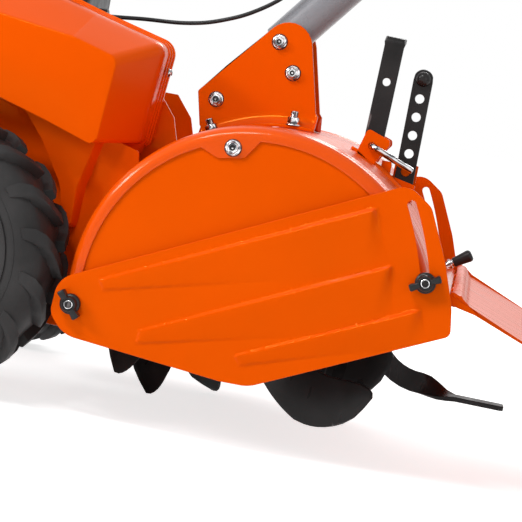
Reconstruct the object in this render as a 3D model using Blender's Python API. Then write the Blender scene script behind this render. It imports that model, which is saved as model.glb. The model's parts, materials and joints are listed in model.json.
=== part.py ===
"""Rear tine tiller: an engine on a frame, two driven wheels, a gear case, and tines under a hood.

Metres, +Z up. +X points to the rear, where the operator walks, so the machine's left side faces -Y.
The origin is on the ground, under the middle of the machine.
"""

import math

import bmesh
import bpy
from mathutils import Matrix, Vector

# Overall reach, the same to the front and to the rear of the origin
REACH = 0.760
GAP = 0.0003
RUNNING_GAP = 0.0004
SHEET = 0.0025

# Wheels
WHEEL_RADIUS = 0.165
WHEEL_X = -0.345
WHEEL_Y = 0.215
TYRE_WIDTH = 0.110
TYRE_CARCASS_RADIUS = 0.1535
LUGS_PER_SIDE = 16
WHEEL_FACETS = 24
RIM_RADIUS = 0.078
RIM_WIDTH = 0.090
AXLE_RADIUS = 0.0127
AXLE_HALF = 0.205

# Tines
TINE_X = 0.045
TINE_Z = 0.165
TINE_RADIUS = 0.176
TINE_SHAFT_RADIUS = 0.0127
SHAFT_FACETS = 16
TINE_HUB_RADIUS = 0.024
TINE_SET_Y = (0.078, 0.158)
TINE_HUB_LENGTH = 0.056
TINE_BEND = 0.040
TINE_BEND_BY_CASE = 0.004
TINES_PER_SET = 3
TINE_TURNS = {"left_outer": -64.0, "left_inner": -50.0, "right_inner": -152.0, "right_outer": -60.0}
TINE_SWEEP_DEG = 34.0
TINE_ROOT_HALF = 0.018
TINE_SPREAD = 0.023
TINE_TILT = 0.010
TINE_THICKNESS = 0.005

# Hood over the tines
HOOD_RADIUS = 0.213
HOOD_HALF = 0.245
HOOD_EDGE_FILLET = 0.013
HOOD_FLANGE = 0.017
HOOD_FRONT_ANGLE = 190.0
HOOD_REAR_ANGLE = 16.0


def over_hood(rise, degrees):
    """A place at a height over the hood's sheet, at an angle round the tine shaft."""
    turn = math.radians(degrees)
    reach = HOOD_RADIUS + rise
    return (TINE_X + reach * math.cos(turn), TINE_Z + reach * math.sin(turn))


HOOD_TAB_BOLT = over_hood(-0.02391, 105.175)

# Side shields
SHIELD_SHEET = 0.0022
SHIELD_Y = 0.252
SHIELD_PIVOT = over_hood(-0.00945, 188.333)
SHIELD_SLOT_POINT = over_hood(-0.00397, 20.880)
SHIELD_REAR_CORNER = (SHIELD_SLOT_POINT[0] + 0.0412, SHIELD_SLOT_POINT[1] - 0.0545)
SHIELD_LOW_CORNER = (0.0640, 0.0820)
SHIELD_DROP_DEG = 11.5
SLOT_WIDTH = 0.0086
STUD_RADIUS = 0.0036
RIB_HEIGHT = 0.007

# Rear flap
FLAP_HINGE = over_hood(0.02553, 13.949)
FLAP_LENGTH = 0.240
FLAP_HALF = 0.232
HINGE_EYE_RADIUS = 0.0066
FLAP_DROP_DEG = 20.5
HINGE_ROD_RADIUS = 0.004

# Depth stake, its lever and their bracket
STAKE_X = 0.1845
STAKE_WIDTH = 0.0215
STAKE_THICKNESS = 0.006
STAKE_TOP = 0.4815
STAKE_HOLE_RADIUS = 0.0054
STAKE_PITCH = 0.0234
STAKE_TOP_HOLE = 0.4441
STAKE_FOOT_Z = 0.080
STAKE_FOOT_END = 0.3635
LEVER_PIVOT = over_hood(0.01733, 66.050)
LEVER_TOP = 0.511
LEVER_Y = -0.0195
LOCK_PIN_RADIUS = 0.0042

# Handlebar bracket and handlebar
BRACKET_INNER = 0.0262
BRACKET_PIVOT = (0.0, 0.4815)
BRACKET_LOCK = (0.0235, 0.4462)
BRACKET_FRONT = (-0.0661, 0.3965)
COLUMN_RADIUS = 0.0255
COLUMN_ANGLE_DEG = 51.5
COLUMN_LENGTH = 0.430
HANDLE_RADIUS = 0.0125
GRIP_RADIUS = 0.0175
GRIP_Y = 0.2545
GRIP_Z = 1.000
GRIP_LENGTH = 0.130
BOLT_RADIUS = 0.005
BUMPER_TUBE_RADIUS = 0.011
FLANGE_HEAD_RADIUS = 0.0085
BOLT_HEAD_RADIUS = 0.0065

# Engine and belt drive
ENGINE_X = -0.430
ENGINE_Z = 0.414
FRAME_TOP = 0.300
INPUT_X = -0.215
INPUT_Z = 0.410
ENGINE_PULLEY_RADIUS = 0.030
INPUT_PULLEY_RADIUS = 0.052
INPUT_SHAFT_RADIUS = 0.008
CRANK_RADIUS = 0.0095
PULLEY_Y = -0.118
PULLEY_WIDTH = 0.018
BELT_OUTER_HALF = 0.0058
BELT_INNER_HALF = 0.0029
CORD_SHOWN = 0.078
COVER_OUTER = -0.190
COVER_SHOULDER = -0.132
COVER_INNER = -0.076
COVER_WALL = 0.0025
LEG_OUTER = -0.150
LEG_SHOULDER = -0.104

ORANGE = (0.86, 0.145, 0.008)
BLACK = (0.022, 0.022, 0.024)
DARK_STEEL = (0.045, 0.043, 0.044)
STEEL = (0.62, 0.62, 0.63)
GREY = (0.30, 0.31, 0.34)
ALUMINIUM = (0.52, 0.52, 0.53)
RUBBER = (0.030, 0.031, 0.033)

TINE_AXIS = Vector((TINE_X, 0.0, TINE_Z))
WHEEL_AXIS = Vector((WHEEL_X, 0.0, WHEEL_RADIUS))


def clear_scene():
    for item in list(bpy.data.objects):
        bpy.data.objects.remove(item, do_unlink=True)


def material(name, rgb, roughness, metallic=0.0):
    made = bpy.data.materials.new(name)
    made.use_nodes = True
    shader = made.node_tree.nodes["Principled BSDF"]
    shader.inputs["Base Color"].default_value = (*rgb, 1.0)
    shader.inputs["Roughness"].default_value = roughness
    shader.inputs["Metallic"].default_value = metallic
    made.diffuse_color = (*rgb, 1.0)
    return made


def add(name, mesh_build, finish=None, origin=(0.0, 0.0, 0.0), smooth=40.0):
    """One object from a bmesh in world coordinates, with its origin moved to the point given."""
    mesh = bpy.data.meshes.new(name)
    bmesh.ops.recalc_face_normals(mesh_build, faces=mesh_build.faces)
    bmesh.ops.translate(mesh_build, verts=mesh_build.verts, vec=-Vector(origin))
    mesh_build.to_mesh(mesh)
    mesh_build.free()
    mesh.shade_smooth()
    mesh.set_sharp_from_angle(angle=math.radians(smooth))
    item = bpy.data.objects.new(name, mesh)
    item.location = origin
    bpy.context.scene.collection.objects.link(item)
    if finish is not None:
        mesh.materials.append(finish)
    return item


def as_tool(item):
    item.hide_render = True
    item.display_type = "WIRE"
    return item


def combine(item, operation, tools):
    for tool in tools:
        as_tool(tool)
        change = item.modifiers.new(operation.lower() + "_" + tool.name, "BOOLEAN")
        change.operation = operation
        change.object = tool
        change.solver = "EXACT"
    return item


def fuse(item, *tools):
    return combine(item, "UNION", tools)


def cut(item, *tools):
    return combine(item, "DIFFERENCE", tools)


def round_edges(item, width, segments=2, angle=50.0):
    bevel = item.modifiers.new("rounded_edges", "BEVEL")
    bevel.width = width
    bevel.segments = segments
    bevel.limit_method = "ANGLE"
    bevel.angle_limit = math.radians(angle)
    return item


def round_side(item, depth, width, segments):
    """Rounds only the edges that lie in the plane y = depth."""
    mesh = item.data
    weights = mesh.attributes.new("bevel_weight_edge", "FLOAT", "EDGE")
    for edge in mesh.edges:
        ends = [mesh.vertices[i].co.y + item.location.y for i in edge.vertices]
        weights.data[edge.index].value = 1.0 if all(abs(y - depth) < 1e-6 for y in ends) else 0.0
    round_edges(item, width, segments)
    item.modifiers[-1].limit_method = "WEIGHT"
    return item


def arc(centre, radius, start_deg, end_deg, steps):
    """Points on an arc in a plane, both ends included."""
    points = []
    for i in range(steps + 1):
        turn = math.radians(start_deg + (end_deg - start_deg) * i / steps)
        points.append((centre[0] + radius * math.cos(turn), centre[1] + radius * math.sin(turn)))
    return points


def rounded_outline(corners, steps=4):
    """A closed outline of corners (x, z, radius), each corner rounded with an arc."""
    points = []
    count = len(corners)
    for i, (x, z, radius) in enumerate(corners):
        here = Vector((x, z))
        to_last = (Vector(corners[i - 1][:2]) - here).normalized()
        to_next = (Vector(corners[(i + 1) % count][:2]) - here).normalized()
        if radius <= 0.0:
            points.append((x, z))
            continue
        half = to_last.angle(to_next) / 2.0
        reach = radius / math.tan(half)
        centre = here + (to_last + to_next).normalized() * (radius / math.sin(half))
        first = here + to_last * reach - centre
        last = here + to_next * reach - centre
        turn = first.angle_signed(last)
        for step in range(steps + 1):
            part = Vector(first)
            part.rotate(Matrix.Rotation(-turn * step / steps, 2))
            points.append(tuple(centre + part))
    return points


def hull_of_circles(first, first_radius, second, second_radius, steps=10):
    """The outline of a belt round two circles, in a plane."""
    between = Vector(second) - Vector(first)
    facing = math.degrees(math.atan2(between.y, between.x))
    lean = math.degrees(math.asin((first_radius - second_radius) / between.length))
    side = 90.0 - lean
    back = arc(first, first_radius, facing + side, facing + 360.0 - side, steps)
    front = arc(second, second_radius, facing - side, facing + side, steps)
    return back + front


def prism_mesh(points, low, high, axis="Y"):
    """A closed outline, given in the plane square to the axis, extruded along it."""
    build = bmesh.new()

    def place(a, b, depth):
        if axis == "Y":
            return (a, depth, b)
        if axis == "Z":
            return (a, b, depth)
        return (depth, a, b)

    bottom = [build.verts.new(place(a, b, low)) for a, b in points]
    top = [build.verts.new(place(a, b, high)) for a, b in points]
    build.faces.new(bottom)
    build.faces.new(top[::-1])
    for i in range(len(points)):
        j = (i + 1) % len(points)
        build.faces.new((bottom[i], bottom[j], top[j], top[i]))
    return build


def lofted(name, sections, finish=None, origin=(0.0, 0.0, 0.0)):
    """A closed solid through outlines of equal count, each given with the y of its plane."""
    build = bmesh.new()
    rings = [[build.verts.new((x, depth, z)) for x, z in outline] for outline, depth in sections]
    build.faces.new(rings[0])
    build.faces.new(rings[-1][::-1])
    walls = []
    for first, second in zip(rings, rings[1:]):
        for i in range(len(first)):
            j = (i + 1) % len(first)
            walls.append(build.faces.new((first[i], first[j], second[j], second[i])))
    bmesh.ops.triangulate(build, faces=walls)
    return add(name, build, finish, origin)


def between(first, second, share):
    """The outline part of the way from one outline to another."""
    return [tuple(Vector(a).lerp(Vector(b), share)) for a, b in zip(first, second)]


def prism(name, points, low, high, finish=None, axis="Y", origin=(0.0, 0.0, 0.0)):
    return add(name, prism_mesh(points, low, high, axis), finish, origin)


def box(name, x, y, z, finish=None, origin=(0.0, 0.0, 0.0)):
    corners = [(x[0], z[0]), (x[1], z[0]), (x[1], z[1]), (x[0], z[1])]
    return prism(name, corners, y[0], y[1], finish, "Y", origin)


def frame_along(direction):
    """Two unit vectors square to a direction."""
    ahead = Vector(direction).normalized()
    up = Vector((0.0, 0.0, 1.0))
    if abs(ahead.dot(up)) > 0.95:
        up = Vector((1.0, 0.0, 0.0))
    side = ahead.cross(up).normalized()
    return side, side.cross(ahead).normalized()


def turned_mesh(start, direction, profile, segments):
    """A solid of revolution: profile points are (distance along the axis, radius), first and last on it."""
    build = bmesh.new()
    ahead = Vector(direction).normalized()
    side, up = frame_along(ahead)
    rings = []
    for along, radius in profile:
        centre = Vector(start) + ahead * along
        if radius <= 0.0:
            rings.append([build.verts.new(centre)])
            continue
        ring = []
        for i in range(segments):
            turn = 2.0 * math.pi * i / segments
            out = side * math.cos(turn) + up * math.sin(turn)
            ring.append(build.verts.new(centre + out * radius))
        rings.append(ring)
    for first, second in zip(rings, rings[1:]):
        for i in range(segments):
            j = (i + 1) % segments
            if len(first) == 1:
                build.faces.new((first[0], second[j], second[i]))
            elif len(second) == 1:
                build.faces.new((first[i], first[j], second[0]))
            else:
                build.faces.new((first[i], first[j], second[j], second[i]))
    return build


def turned(name, start, direction, profile, finish=None, segments=24, origin=(0.0, 0.0, 0.0)):
    return add(name, turned_mesh(start, direction, profile, segments), finish, origin)


def rod(name, start, end, radius, finish=None, segments=16, origin=(0.0, 0.0, 0.0)):
    length = (Vector(end) - Vector(start)).length
    profile = [(0.0, 0.0), (0.0, radius), (length, radius), (length, 0.0)]
    return turned(name, start, Vector(end) - Vector(start), profile, finish, segments, origin)


def ring_turned(name, start, direction, profile, finish=None, segments=32, origin=(0.0, 0.0, 0.0)):
    """A ring: a closed profile of (distance along the axis, radius) turned round the axis."""
    build = bmesh.new()
    ahead = Vector(direction).normalized()
    side, up = frame_along(ahead)
    rings = []
    for i in range(segments):
        turn = 2.0 * math.pi * i / segments
        out = side * math.cos(turn) + up * math.sin(turn)
        rings.append([build.verts.new(Vector(start) + ahead * a + out * r) for a, r in profile])
    count = len(profile)
    for i in range(segments):
        first, second = rings[i], rings[(i + 1) % segments]
        for k in range(count):
            m = (k + 1) % count
            build.faces.new((first[k], first[m], second[m], second[k]))
    return add(name, build, finish, origin)


def smooth_route(points, steps):
    """Points of a Catmull-Rom curve through the points given."""
    knots = [Vector(p) for p in points]
    knots = [knots[0] * 2.0 - knots[1]] + knots + [knots[-1] * 2.0 - knots[-2]]
    route = []
    for i in range(1, len(knots) - 2):
        before, here, after, beyond = knots[i - 1 : i + 3]
        for step in range(steps):
            t = step / steps
            route.append(
                0.5
                * (
                    2.0 * here
                    + (after - before) * t
                    + (2.0 * before - 5.0 * here + 4.0 * after - beyond) * t * t
                    + (3.0 * here - before - 3.0 * after + beyond) * t * t * t
                )
            )
    route.append(knots[-2])
    return route


def bent_route(corners, bend, steps):
    """Straight runs through the corners given, with an arc of the bend radius at each."""
    knots = [Vector(c) for c in corners]
    route = [knots[0]]
    for before, here, after in zip(knots, knots[1:], knots[2:]):
        back = (before - here).normalized()
        ahead = (after - here).normalized()
        half = back.angle(ahead) / 2.0
        reach = min(bend / math.tan(half), 0.48 * (before - here).length, 0.48 * (after - here).length)
        radius = reach * math.tan(half)
        centre = here + (back + ahead).normalized() * (radius / math.sin(half))
        first = here + back * reach - centre
        last = here + ahead * reach - centre
        normal = first.cross(last).normalized()
        turn = first.angle(last)
        for step in range(steps + 1):
            route.append(centre + Matrix.Rotation(turn * step / steps, 3, normal) @ first)
    route.append(knots[-1])
    return route


def bent_tube(name, corners, radius, bend, finish=None, segments=12, steps=4, origin=(0.0, 0.0, 0.0)):
    """A round bar with straight runs and bends, and flat ends."""
    route = bent_route(corners, bend, steps)
    build = bmesh.new()
    side, up = frame_along(route[1] - route[0])
    rings = []
    for i, centre in enumerate(route):
        ahead = (route[min(i + 1, len(route) - 1)] - route[max(i - 1, 0)]).normalized()
        side = (side - ahead * side.dot(ahead)).normalized()
        up = ahead.cross(side)
        ring = []
        for k in range(segments):
            turn = 2.0 * math.pi * k / segments
            out = side * math.cos(turn) + up * math.sin(turn)
            ring.append(build.verts.new(centre + out * radius))
        rings.append(ring)
    build.faces.new(rings[0])
    build.faces.new(rings[-1][::-1])
    for first, second in zip(rings, rings[1:]):
        for k in range(segments):
            m = (k + 1) % segments
            build.faces.new((first[k], first[m], second[m], second[k]))
    return add(name, build, finish, origin)


def on_circle(centre, radius, degrees):
    turn = math.radians(degrees)
    return (centre[0] + radius * math.cos(turn), centre[1] + radius * math.sin(turn))


def hood_height(x, radius=HOOD_RADIUS):
    return TINE_Z + math.sqrt(radius**2 - (x - TINE_X) ** 2)


# Wheels and their axle


def make_tyre(name, side, finish):
    """A closed carcass with bent lugs that run from the middle of the tread down the shoulder."""
    half = TYRE_WIDTH / 2.0
    seat = RIM_RADIUS + GAP
    bead = RIM_WIDTH / 2.0 - 0.0035
    profile = [
        (-bead, seat),
        (-bead, seat + 0.0075),
        (-half + 0.010, seat + 0.011),
        (-half + 0.001, 0.125),
        (-half + 0.020, TYRE_CARCASS_RADIUS),
        (half - 0.020, TYRE_CARCASS_RADIUS),
        (half - 0.001, 0.125),
        (half - 0.010, seat + 0.011),
        (bead, seat + 0.0075),
        (bead, seat),
    ]
    centre = Vector((WHEEL_X, side * WHEEL_Y, WHEEL_RADIUS))
    tyre = ring_turned(name, centre, (0, 1, 0), profile, finish, WHEEL_FACETS, centre)
    lugs = bmesh.new()
    pitch = 360.0 / LUGS_PER_SIDE
    # stations of a lug: distance from the middle, turn, top radius, root radius, half its breadth in degrees
    stations = (
        (0.001, 0.0, WHEEL_RADIUS, TYRE_CARCASS_RADIUS - 0.005, 2.6),
        (half - 0.0005, 17.0, WHEEL_RADIUS - 0.008, 0.136, 3.4),
    )
    for hand in (-1, 1):
        for lug in range(LUGS_PER_SIDE):
            base = -90.0 + pitch * lug + (pitch / 2.0 if hand > 0 else 0.0)
            rings = []
            for out, turn, top, root, breadth in stations:
                ring = []
                for radius, edge in (
                    (root, -breadth), (root, breadth), (top, breadth * 0.8), (top, -breadth * 0.8)
                ):
                    x, z = on_circle((centre.x, centre.z), radius, base + turn + edge)
                    ring.append(lugs.verts.new((x, centre.y + hand * out, z)))
                rings.append(ring)
            lugs.faces.new(rings[0])
            lugs.faces.new(rings[-1][::-1])
            for first, second in zip(rings, rings[1:]):
                for k in range(4):
                    m = (k + 1) % 4
                    lugs.faces.new((first[k], first[m], second[m], second[k]))
    fuse(tyre, add(name + "_lugs", lugs))
    return tyre


def make_rim(name, side, finish):
    """A pressed wheel: hub sleeve, dished disc, and a barrel with a flange at each edge."""
    half = RIM_WIDTH / 2.0
    bore = AXLE_RADIUS + GAP
    centre = Vector((WHEEL_X, side * WHEEL_Y, WHEEL_RADIUS))
    profile = [
        (-0.052, bore),
        (-0.052, bore + 0.008),
        (-0.004, bore + 0.008),
        (0.004, RIM_RADIUS - 0.004),
        (-half + 0.001, RIM_RADIUS - 0.003),
        (-half, RIM_RADIUS + 0.007),
        (-half + 0.003, RIM_RADIUS + 0.007),
        (-half + 0.0032, RIM_RADIUS),
        (half - 0.0032, RIM_RADIUS),
        (half - 0.003, RIM_RADIUS + 0.007),
        (half, RIM_RADIUS + 0.007),
        (half - 0.001, RIM_RADIUS - 0.003),
        (0.008, RIM_RADIUS - 0.004),
        (0.002, bore),
    ]
    rim = ring_turned(name, centre, (0, side, 0), profile, finish, WHEEL_FACETS, centre)
    pin_y = centre.y - side * 0.040
    out = bore + 0.012
    low = (WHEEL_X, pin_y, WHEEL_RADIUS + bore + 0.001)
    high = (WHEEL_X, pin_y, WHEEL_RADIUS + out)
    return fuse(rim, rod(name + "_drive_pin", low, high, 0.004, None, 10))


def make_wheels(orange, rubber, steel):
    rod(
        "wheel_axle",
        (WHEEL_X, -AXLE_HALF - 0.012, WHEEL_RADIUS),
        (WHEEL_X, AXLE_HALF + 0.012, WHEEL_RADIUS),
        AXLE_RADIUS,
        steel,
        18,
        WHEEL_AXIS,
    )
    for word, side in (("left", -1), ("right", 1)):
        make_rim(word + "_rim", side, orange)
        make_tyre(word + "_tyre", side, rubber)


# Gear case and frame


def make_gear_case(finish):
    """The cast drive case that carries the axle, the tine shaft and the input shaft."""
    half = 0.043
    axle = (WHEEL_X, WHEEL_RADIUS)
    tine = (TINE_X, TINE_Z)
    case = prism("gear_case", hull_of_circles(axle, 0.066, tine, 0.050, 7), -half, half, finish)
    round_edges(case, 0.006, 1)
    tower = prism(
        "gear_tower",
        rounded_outline(
            [
                (INPUT_X - 0.055, WHEEL_RADIUS + 0.02, 0),
                (INPUT_X + 0.062, WHEEL_RADIUS + 0.02, 0),
                (INPUT_X + 0.040, INPUT_Z - 0.050, 0.03),
                (INPUT_X + 0.024, INPUT_Z + 0.026, 0.022),
                (INPUT_X - 0.024, INPUT_Z + 0.026, 0.022),
                (INPUT_X - 0.030, INPUT_Z - 0.040, 0.03),
            ],
            3,
        ),
        -0.036,
        0.036,
    )
    saddle = box(
        "gear_saddle",
        (WHEEL_X - 0.050, WHEEL_X + 0.045),
        (-0.034, 0.034),
        (WHEEL_RADIUS + 0.04, FRAME_TOP - 0.004 - GAP),
    )
    seam = prism("gear_seam", hull_of_circles(axle, 0.073, tine, 0.056, 7), -0.005, 0.005)
    collars = []
    for x, z, radius in ((WHEEL_X, WHEEL_RADIUS, 0.030), (TINE_X, TINE_Z, 0.032)):
        collars.append(rod("gear_collar", (x, -half - 0.004, z), (x, half + 0.004, z), radius, None, 22))
    fuse(case, tower, saddle, seam, *collars)
    bores = [
        rod(
            "input_bore",
            (INPUT_X, -0.1, INPUT_Z),
            (INPUT_X, 0.0, INPUT_Z),
            INPUT_SHAFT_RADIUS + RUNNING_GAP,
            None,
            20,
        ),
    ]
    for x, z, radius in ((WHEEL_X, WHEEL_RADIUS, AXLE_RADIUS), (TINE_X, TINE_Z, TINE_SHAFT_RADIUS)):
        bores.append(rod("gear_bore", (x, -0.1, z), (x, 0.1, z), radius + RUNNING_GAP, None, 20))
    return cut(case, *bores)


def make_main_frame(finish):
    """Top plate with turned down sides, a front plate, and two gussets that reach back to the hood."""
    half = 0.068
    front = -0.620
    plate_end = -0.285
    top = FRAME_TOP
    frame = box("main_frame", (front, plate_end), (-half, half), (top - 0.004, top), finish)
    pieces = []
    seat = HOOD_RADIUS + GAP
    rim = arc((TINE_X, TINE_Z), seat, 131.5, 158.0, 6)
    for side in (-1, 1):
        low, high = sorted((side * half, side * (half - 0.004)))
        outline = [
            (front, top - 0.0005),
            (front, 0.235),
            (-0.450, 0.235),
            (-0.400, 0.262),
            (-0.200, 0.262),
        ]
        outline += rim[::-1]
        outline += [(-0.117, 0.392), (-0.275, 0.392), (-0.300, top - 0.0005)]
        pieces.append(prism("frame_side", outline, low, high))
    pieces.append(box("frame_front", (front + 0.0005, front + 0.005), (-half, half), (0.225, top - 0.0002)))
    pieces.append(box("frame_tie", (-0.144, -0.138), (-half + 0.002, half - 0.002), (0.318, 0.352)))
    fuse(frame, *pieces)
    window = rod("frame_window", (INPUT_X, -0.1, INPUT_Z), (INPUT_X, 0.1, INPUT_Z), 0.036, None, 24)
    return cut(frame, window)


def make_front_bumper(finish):
    """A cast weight with a tube guard round it, bolted to the front of the frame."""
    front = -0.620 - GAP
    weight = prism(
        "front_bumper",
        rounded_outline(
            [
                (front, 0.225, 0),
                (front, 0.345, 0),
                (front - 0.060, 0.345, 0.02),
                (front - 0.075, 0.225, 0.02),
            ],
        ),
        -0.095,
        0.095,
        finish,
    )
    round_edges(weight, 0.005, 1)
    nose = -REACH + BUMPER_TUBE_RADIUS
    height = FRAME_TOP - 0.020
    route = [
        (front - 0.030, -0.080, height),
        (front - 0.030, -0.130, height),
        (nose, -0.130, height),
        (nose, 0.130, height),
        (front - 0.030, 0.130, height),
        (front - 0.030, 0.080, height),
    ]
    return fuse(weight, bent_tube("bumper_tube", route, BUMPER_TUBE_RADIUS, 0.030, None, 8, 3))


# Engine


def make_engine(finish, black, silver):
    base = FRAME_TOP + GAP
    block = prism(
        "engine_block",
        rounded_outline(
            [
                (-0.525, base, 0.004),
                (-0.340, base, 0.004),
                (-0.340, base + 0.018, 0.004),
                (-0.352, base + 0.022, 0.004),
                (-0.352, ENGINE_Z + 0.058, 0.03),
                (-0.440, ENGINE_Z + 0.090, 0.02),
                (-0.505, ENGINE_Z + 0.083, 0.02),
                (-0.512, base + 0.022, 0.004),
                (-0.525, base + 0.018, 0.004),
            ],
            3,
        ),
        -0.055,
        0.075,
        finish,
    )
    lean = math.radians(155.0)
    ahead = Vector((math.cos(lean), 0.0, math.sin(lean)))
    up = Vector((-ahead.z, 0.0, ahead.x)) * -1.0
    root = Vector((-0.485, 0.010, ENGINE_Z + 0.033))

    def slab(name, start, end, low, high, side):
        """A block square to the cylinder's axis."""
        corners = [
            root + ahead * start + up * low,
            root + ahead * end + up * low,
            root + ahead * end + up * high,
            root + ahead * start + up * high,
        ]
        return prism(name, [(c.x, c.z) for c in corners], root.y - side, root.y + side)

    parts = [slab("cylinder_core", 0.0, 0.118, -0.042, 0.042, 0.042)]
    for i in range(8):
        start = 0.030 + i * 0.011
        parts.append(slab("cylinder_fin", start, start + 0.0035, -0.058, 0.056, 0.056))
    parts.append(
        rod("crank_boss", (ENGINE_X, -0.083, ENGINE_Z), (ENGINE_X, -0.05, ENGINE_Z), 0.036, None, 24)
    )
    fuse(block, *parts)
    cut(
        block,
        rod(
            "crank_bore",
            (ENGINE_X, -0.2, ENGINE_Z),
            (ENGINE_X, 0.0, ENGINE_Z),
            CRANK_RADIUS + RUNNING_GAP,
            None,
            20,
        ),
    )
    dip = Vector((-0.372, 0.0, ENGINE_Z - 0.078))
    fuse(block, rod("filler_boss", (dip.x, -0.064, dip.z), (dip.x, -0.05, dip.z), 0.013, None, 16))

    start = 0.118 + GAP
    cover = slab("valve_cover", start, start + 0.022, -0.036, 0.036, 0.040)
    cover.data.materials.append(silver)
    round_edges(cover, 0.005, 2)

    # Blower housing on the right, with the fan's intake open to the recoil cover
    low = 0.075 + GAP
    shroud = prism(
        "fan_shroud",
        hull_of_circles((ENGINE_X, ENGINE_Z), 0.108, (ENGINE_X - 0.140, ENGINE_Z + 0.058), 0.058, 8),
        low,
        0.128,
        black,
    )
    round_side(shroud, 0.128, 0.010, 2)
    hollow = prism(
        "shroud_hollow",
        hull_of_circles((ENGINE_X, ENGINE_Z), 0.1055, (ENGINE_X - 0.140, ENGINE_Z + 0.058), 0.0555, 8),
        low - 0.01,
        0.1255,
    )
    round_side(hollow, 0.1255, 0.0075, 2)
    intake = rod("shroud_intake", (ENGINE_X, 0.1, ENGINE_Z), (ENGINE_X, 0.2, ENGINE_Z), 0.062, None, 22)
    cut(shroud, hollow, intake)

    recoil = turned(
        "recoil_cover",
        (ENGINE_X, 0.128 + GAP, ENGINE_Z),
        (0, 1, 0),
        [(0.0, 0.0), (0.0, 0.078), (0.012, 0.078), (0.030, 0.066), (0.036, 0.052), (0.036, 0.0)],
        black,
        24,
    )
    arch = Vector((ENGINE_X, 0.146, ENGINE_Z + 0.072))
    guide = rod(
        "recoil_guide", (arch.x, arch.y, arch.z - 0.02), (arch.x, arch.y, arch.z + 0.018), 0.012, None, 16
    )
    fuse(recoil, guide)
    slots = []
    for i in range(6):
        turn = math.radians(i * 60.0 + 30.0)
        x = ENGINE_X + 0.052 * math.cos(turn)
        z = ENGINE_Z + 0.052 * math.sin(turn)
        slots.append(rod("recoil_slot", (x, 0.150, z), (x, 0.175, z), 0.007, None, 6))
    cord_end = arch.z + 0.018 - CORD_SHOWN
    slots.append(
        rod(
            "cord_bore",
            (arch.x, arch.y, cord_end - 0.004),
            (arch.x, arch.y, arch.z + 0.03),
            0.0026,
            None,
            8,
        ),
    )
    cut(recoil, *slots)

    # The starter's T grip sits in the guide's mouth, and is pulled up and back
    seat = arch.z + 0.018 + GAP
    grip = rod(
        "starter_handle",
        (arch.x, arch.y, seat),
        (arch.x, arch.y, seat + 0.014),
        0.006,
        black,
        12,
        (arch.x, arch.y, seat),
    )
    bar = turned(
        "starter_bar",
        (arch.x - 0.042, arch.y, seat + 0.019),
        (1, 0, 0),
        [(0.0, 0.0), (0.0, 0.006), (0.004, 0.009), (0.080, 0.009), (0.084, 0.006), (0.084, 0.0)],
        None,
        12,
    )
    cord = rod("starter_cord", (arch.x, arch.y, cord_end), (arch.x, arch.y, seat + 0.002), 0.0018, None, 8)
    fuse(grip, bar, cord)
    make_fuel_tank(black)
    make_intake(silver, black)
    make_muffler(silver, black)
    make_dipstick(dip, black)


TANK_FLOOR = ENGINE_Z + 0.1190
TANK_TOP = TANK_FLOOR + 0.078
TANK_CAP = (-0.405, 0.040)


def make_fuel_tank(finish):
    tank = box("fuel_tank", (-0.520, -0.330), (-0.070, 0.118), (TANK_FLOOR, TANK_TOP), finish)
    round_edges(tank, 0.022, 2)
    x, y = TANK_CAP
    neck = rod("tank_neck", (x, y, TANK_TOP - 0.01), (x, y, TANK_TOP + 0.006), 0.024, None, 24)
    feet = []
    for foot_x, foot_y in ((-0.436, 0.050), (-0.436, -0.035)):
        feet.append(
            box(
                "tank_foot",
                (foot_x - 0.012, foot_x + 0.012),
                (foot_y - 0.012, foot_y + 0.012),
                (ENGINE_Z + 0.0903, TANK_FLOOR + 0.004),
            ),
        )
    fuse(tank, neck, *feet)
    cap_base = TANK_TOP + 0.006 + GAP
    cap = turned(
        "fuel_cap",
        (x, y, cap_base),
        (0, 0, 1),
        [(0.0, 0.0), (0.0, 0.029), (0.013, 0.029), (0.017, 0.025), (0.017, 0.0)],
        finish,
        24,
        (x, y, cap_base),
    )
    grooves = []
    for i in range(6):
        turn = 2.0 * math.pi * i / 6
        gx = x + 0.0305 * math.cos(turn)
        gy = y + 0.0305 * math.sin(turn)
        grooves.append(
            rod("cap_groove", (gx, gy, cap_base + 0.003), (gx, gy, cap_base + 0.03), 0.004, None, 6)
        )
    return cut(cap, *grooves)


def make_intake(silver, black):
    """Carburettor on the back of the block, and the air cleaner on it."""
    back = -0.352 + GAP
    middle = ENGINE_Z + 0.030
    carb = box(
        "carburetor", (back, back + 0.046), (-0.018, 0.030), (middle - 0.020, middle + 0.020), silver
    )
    bowl = rod(
        "carburetor_bowl",
        (back + 0.022, 0.006, middle - 0.042),
        (back + 0.022, 0.006, middle - 0.014),
        0.018,
        None,
        18,
    )
    fuse(carb, bowl)
    near = back + 0.046 + GAP
    cleaner = box(
        "air_cleaner", (near, near + 0.062), (-0.060, 0.078), (middle - 0.020, middle + 0.085), black
    )
    round_edges(cleaner, 0.010, 2)
    knob_z = middle + 0.030
    knob = rod(
        "cleaner_knob", (near + 0.060, 0.013, knob_z), (near + 0.074, 0.013, knob_z), 0.010, None, 14
    )
    fuse(cleaner, knob)

    # Throttle lever on the right side of the carburettor
    pivot = (back + 0.023, 0.030 + GAP, middle)
    lever = prism(
        "throttle_lever",
        hull_of_circles((pivot[0], pivot[2]), 0.009, (pivot[0] - 0.004, pivot[2] + 0.052), 0.006, 6),
        pivot[1],
        pivot[1] + 0.003,
        black,
        "Y",
        pivot,
    )
    tab = box(
        "throttle_tab",
        (pivot[0] - 0.011, pivot[0] + 0.003),
        (pivot[1], pivot[1] + 0.016),
        (pivot[2] + 0.046, pivot[2] + 0.058),
    )
    return fuse(lever, tab)


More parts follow.
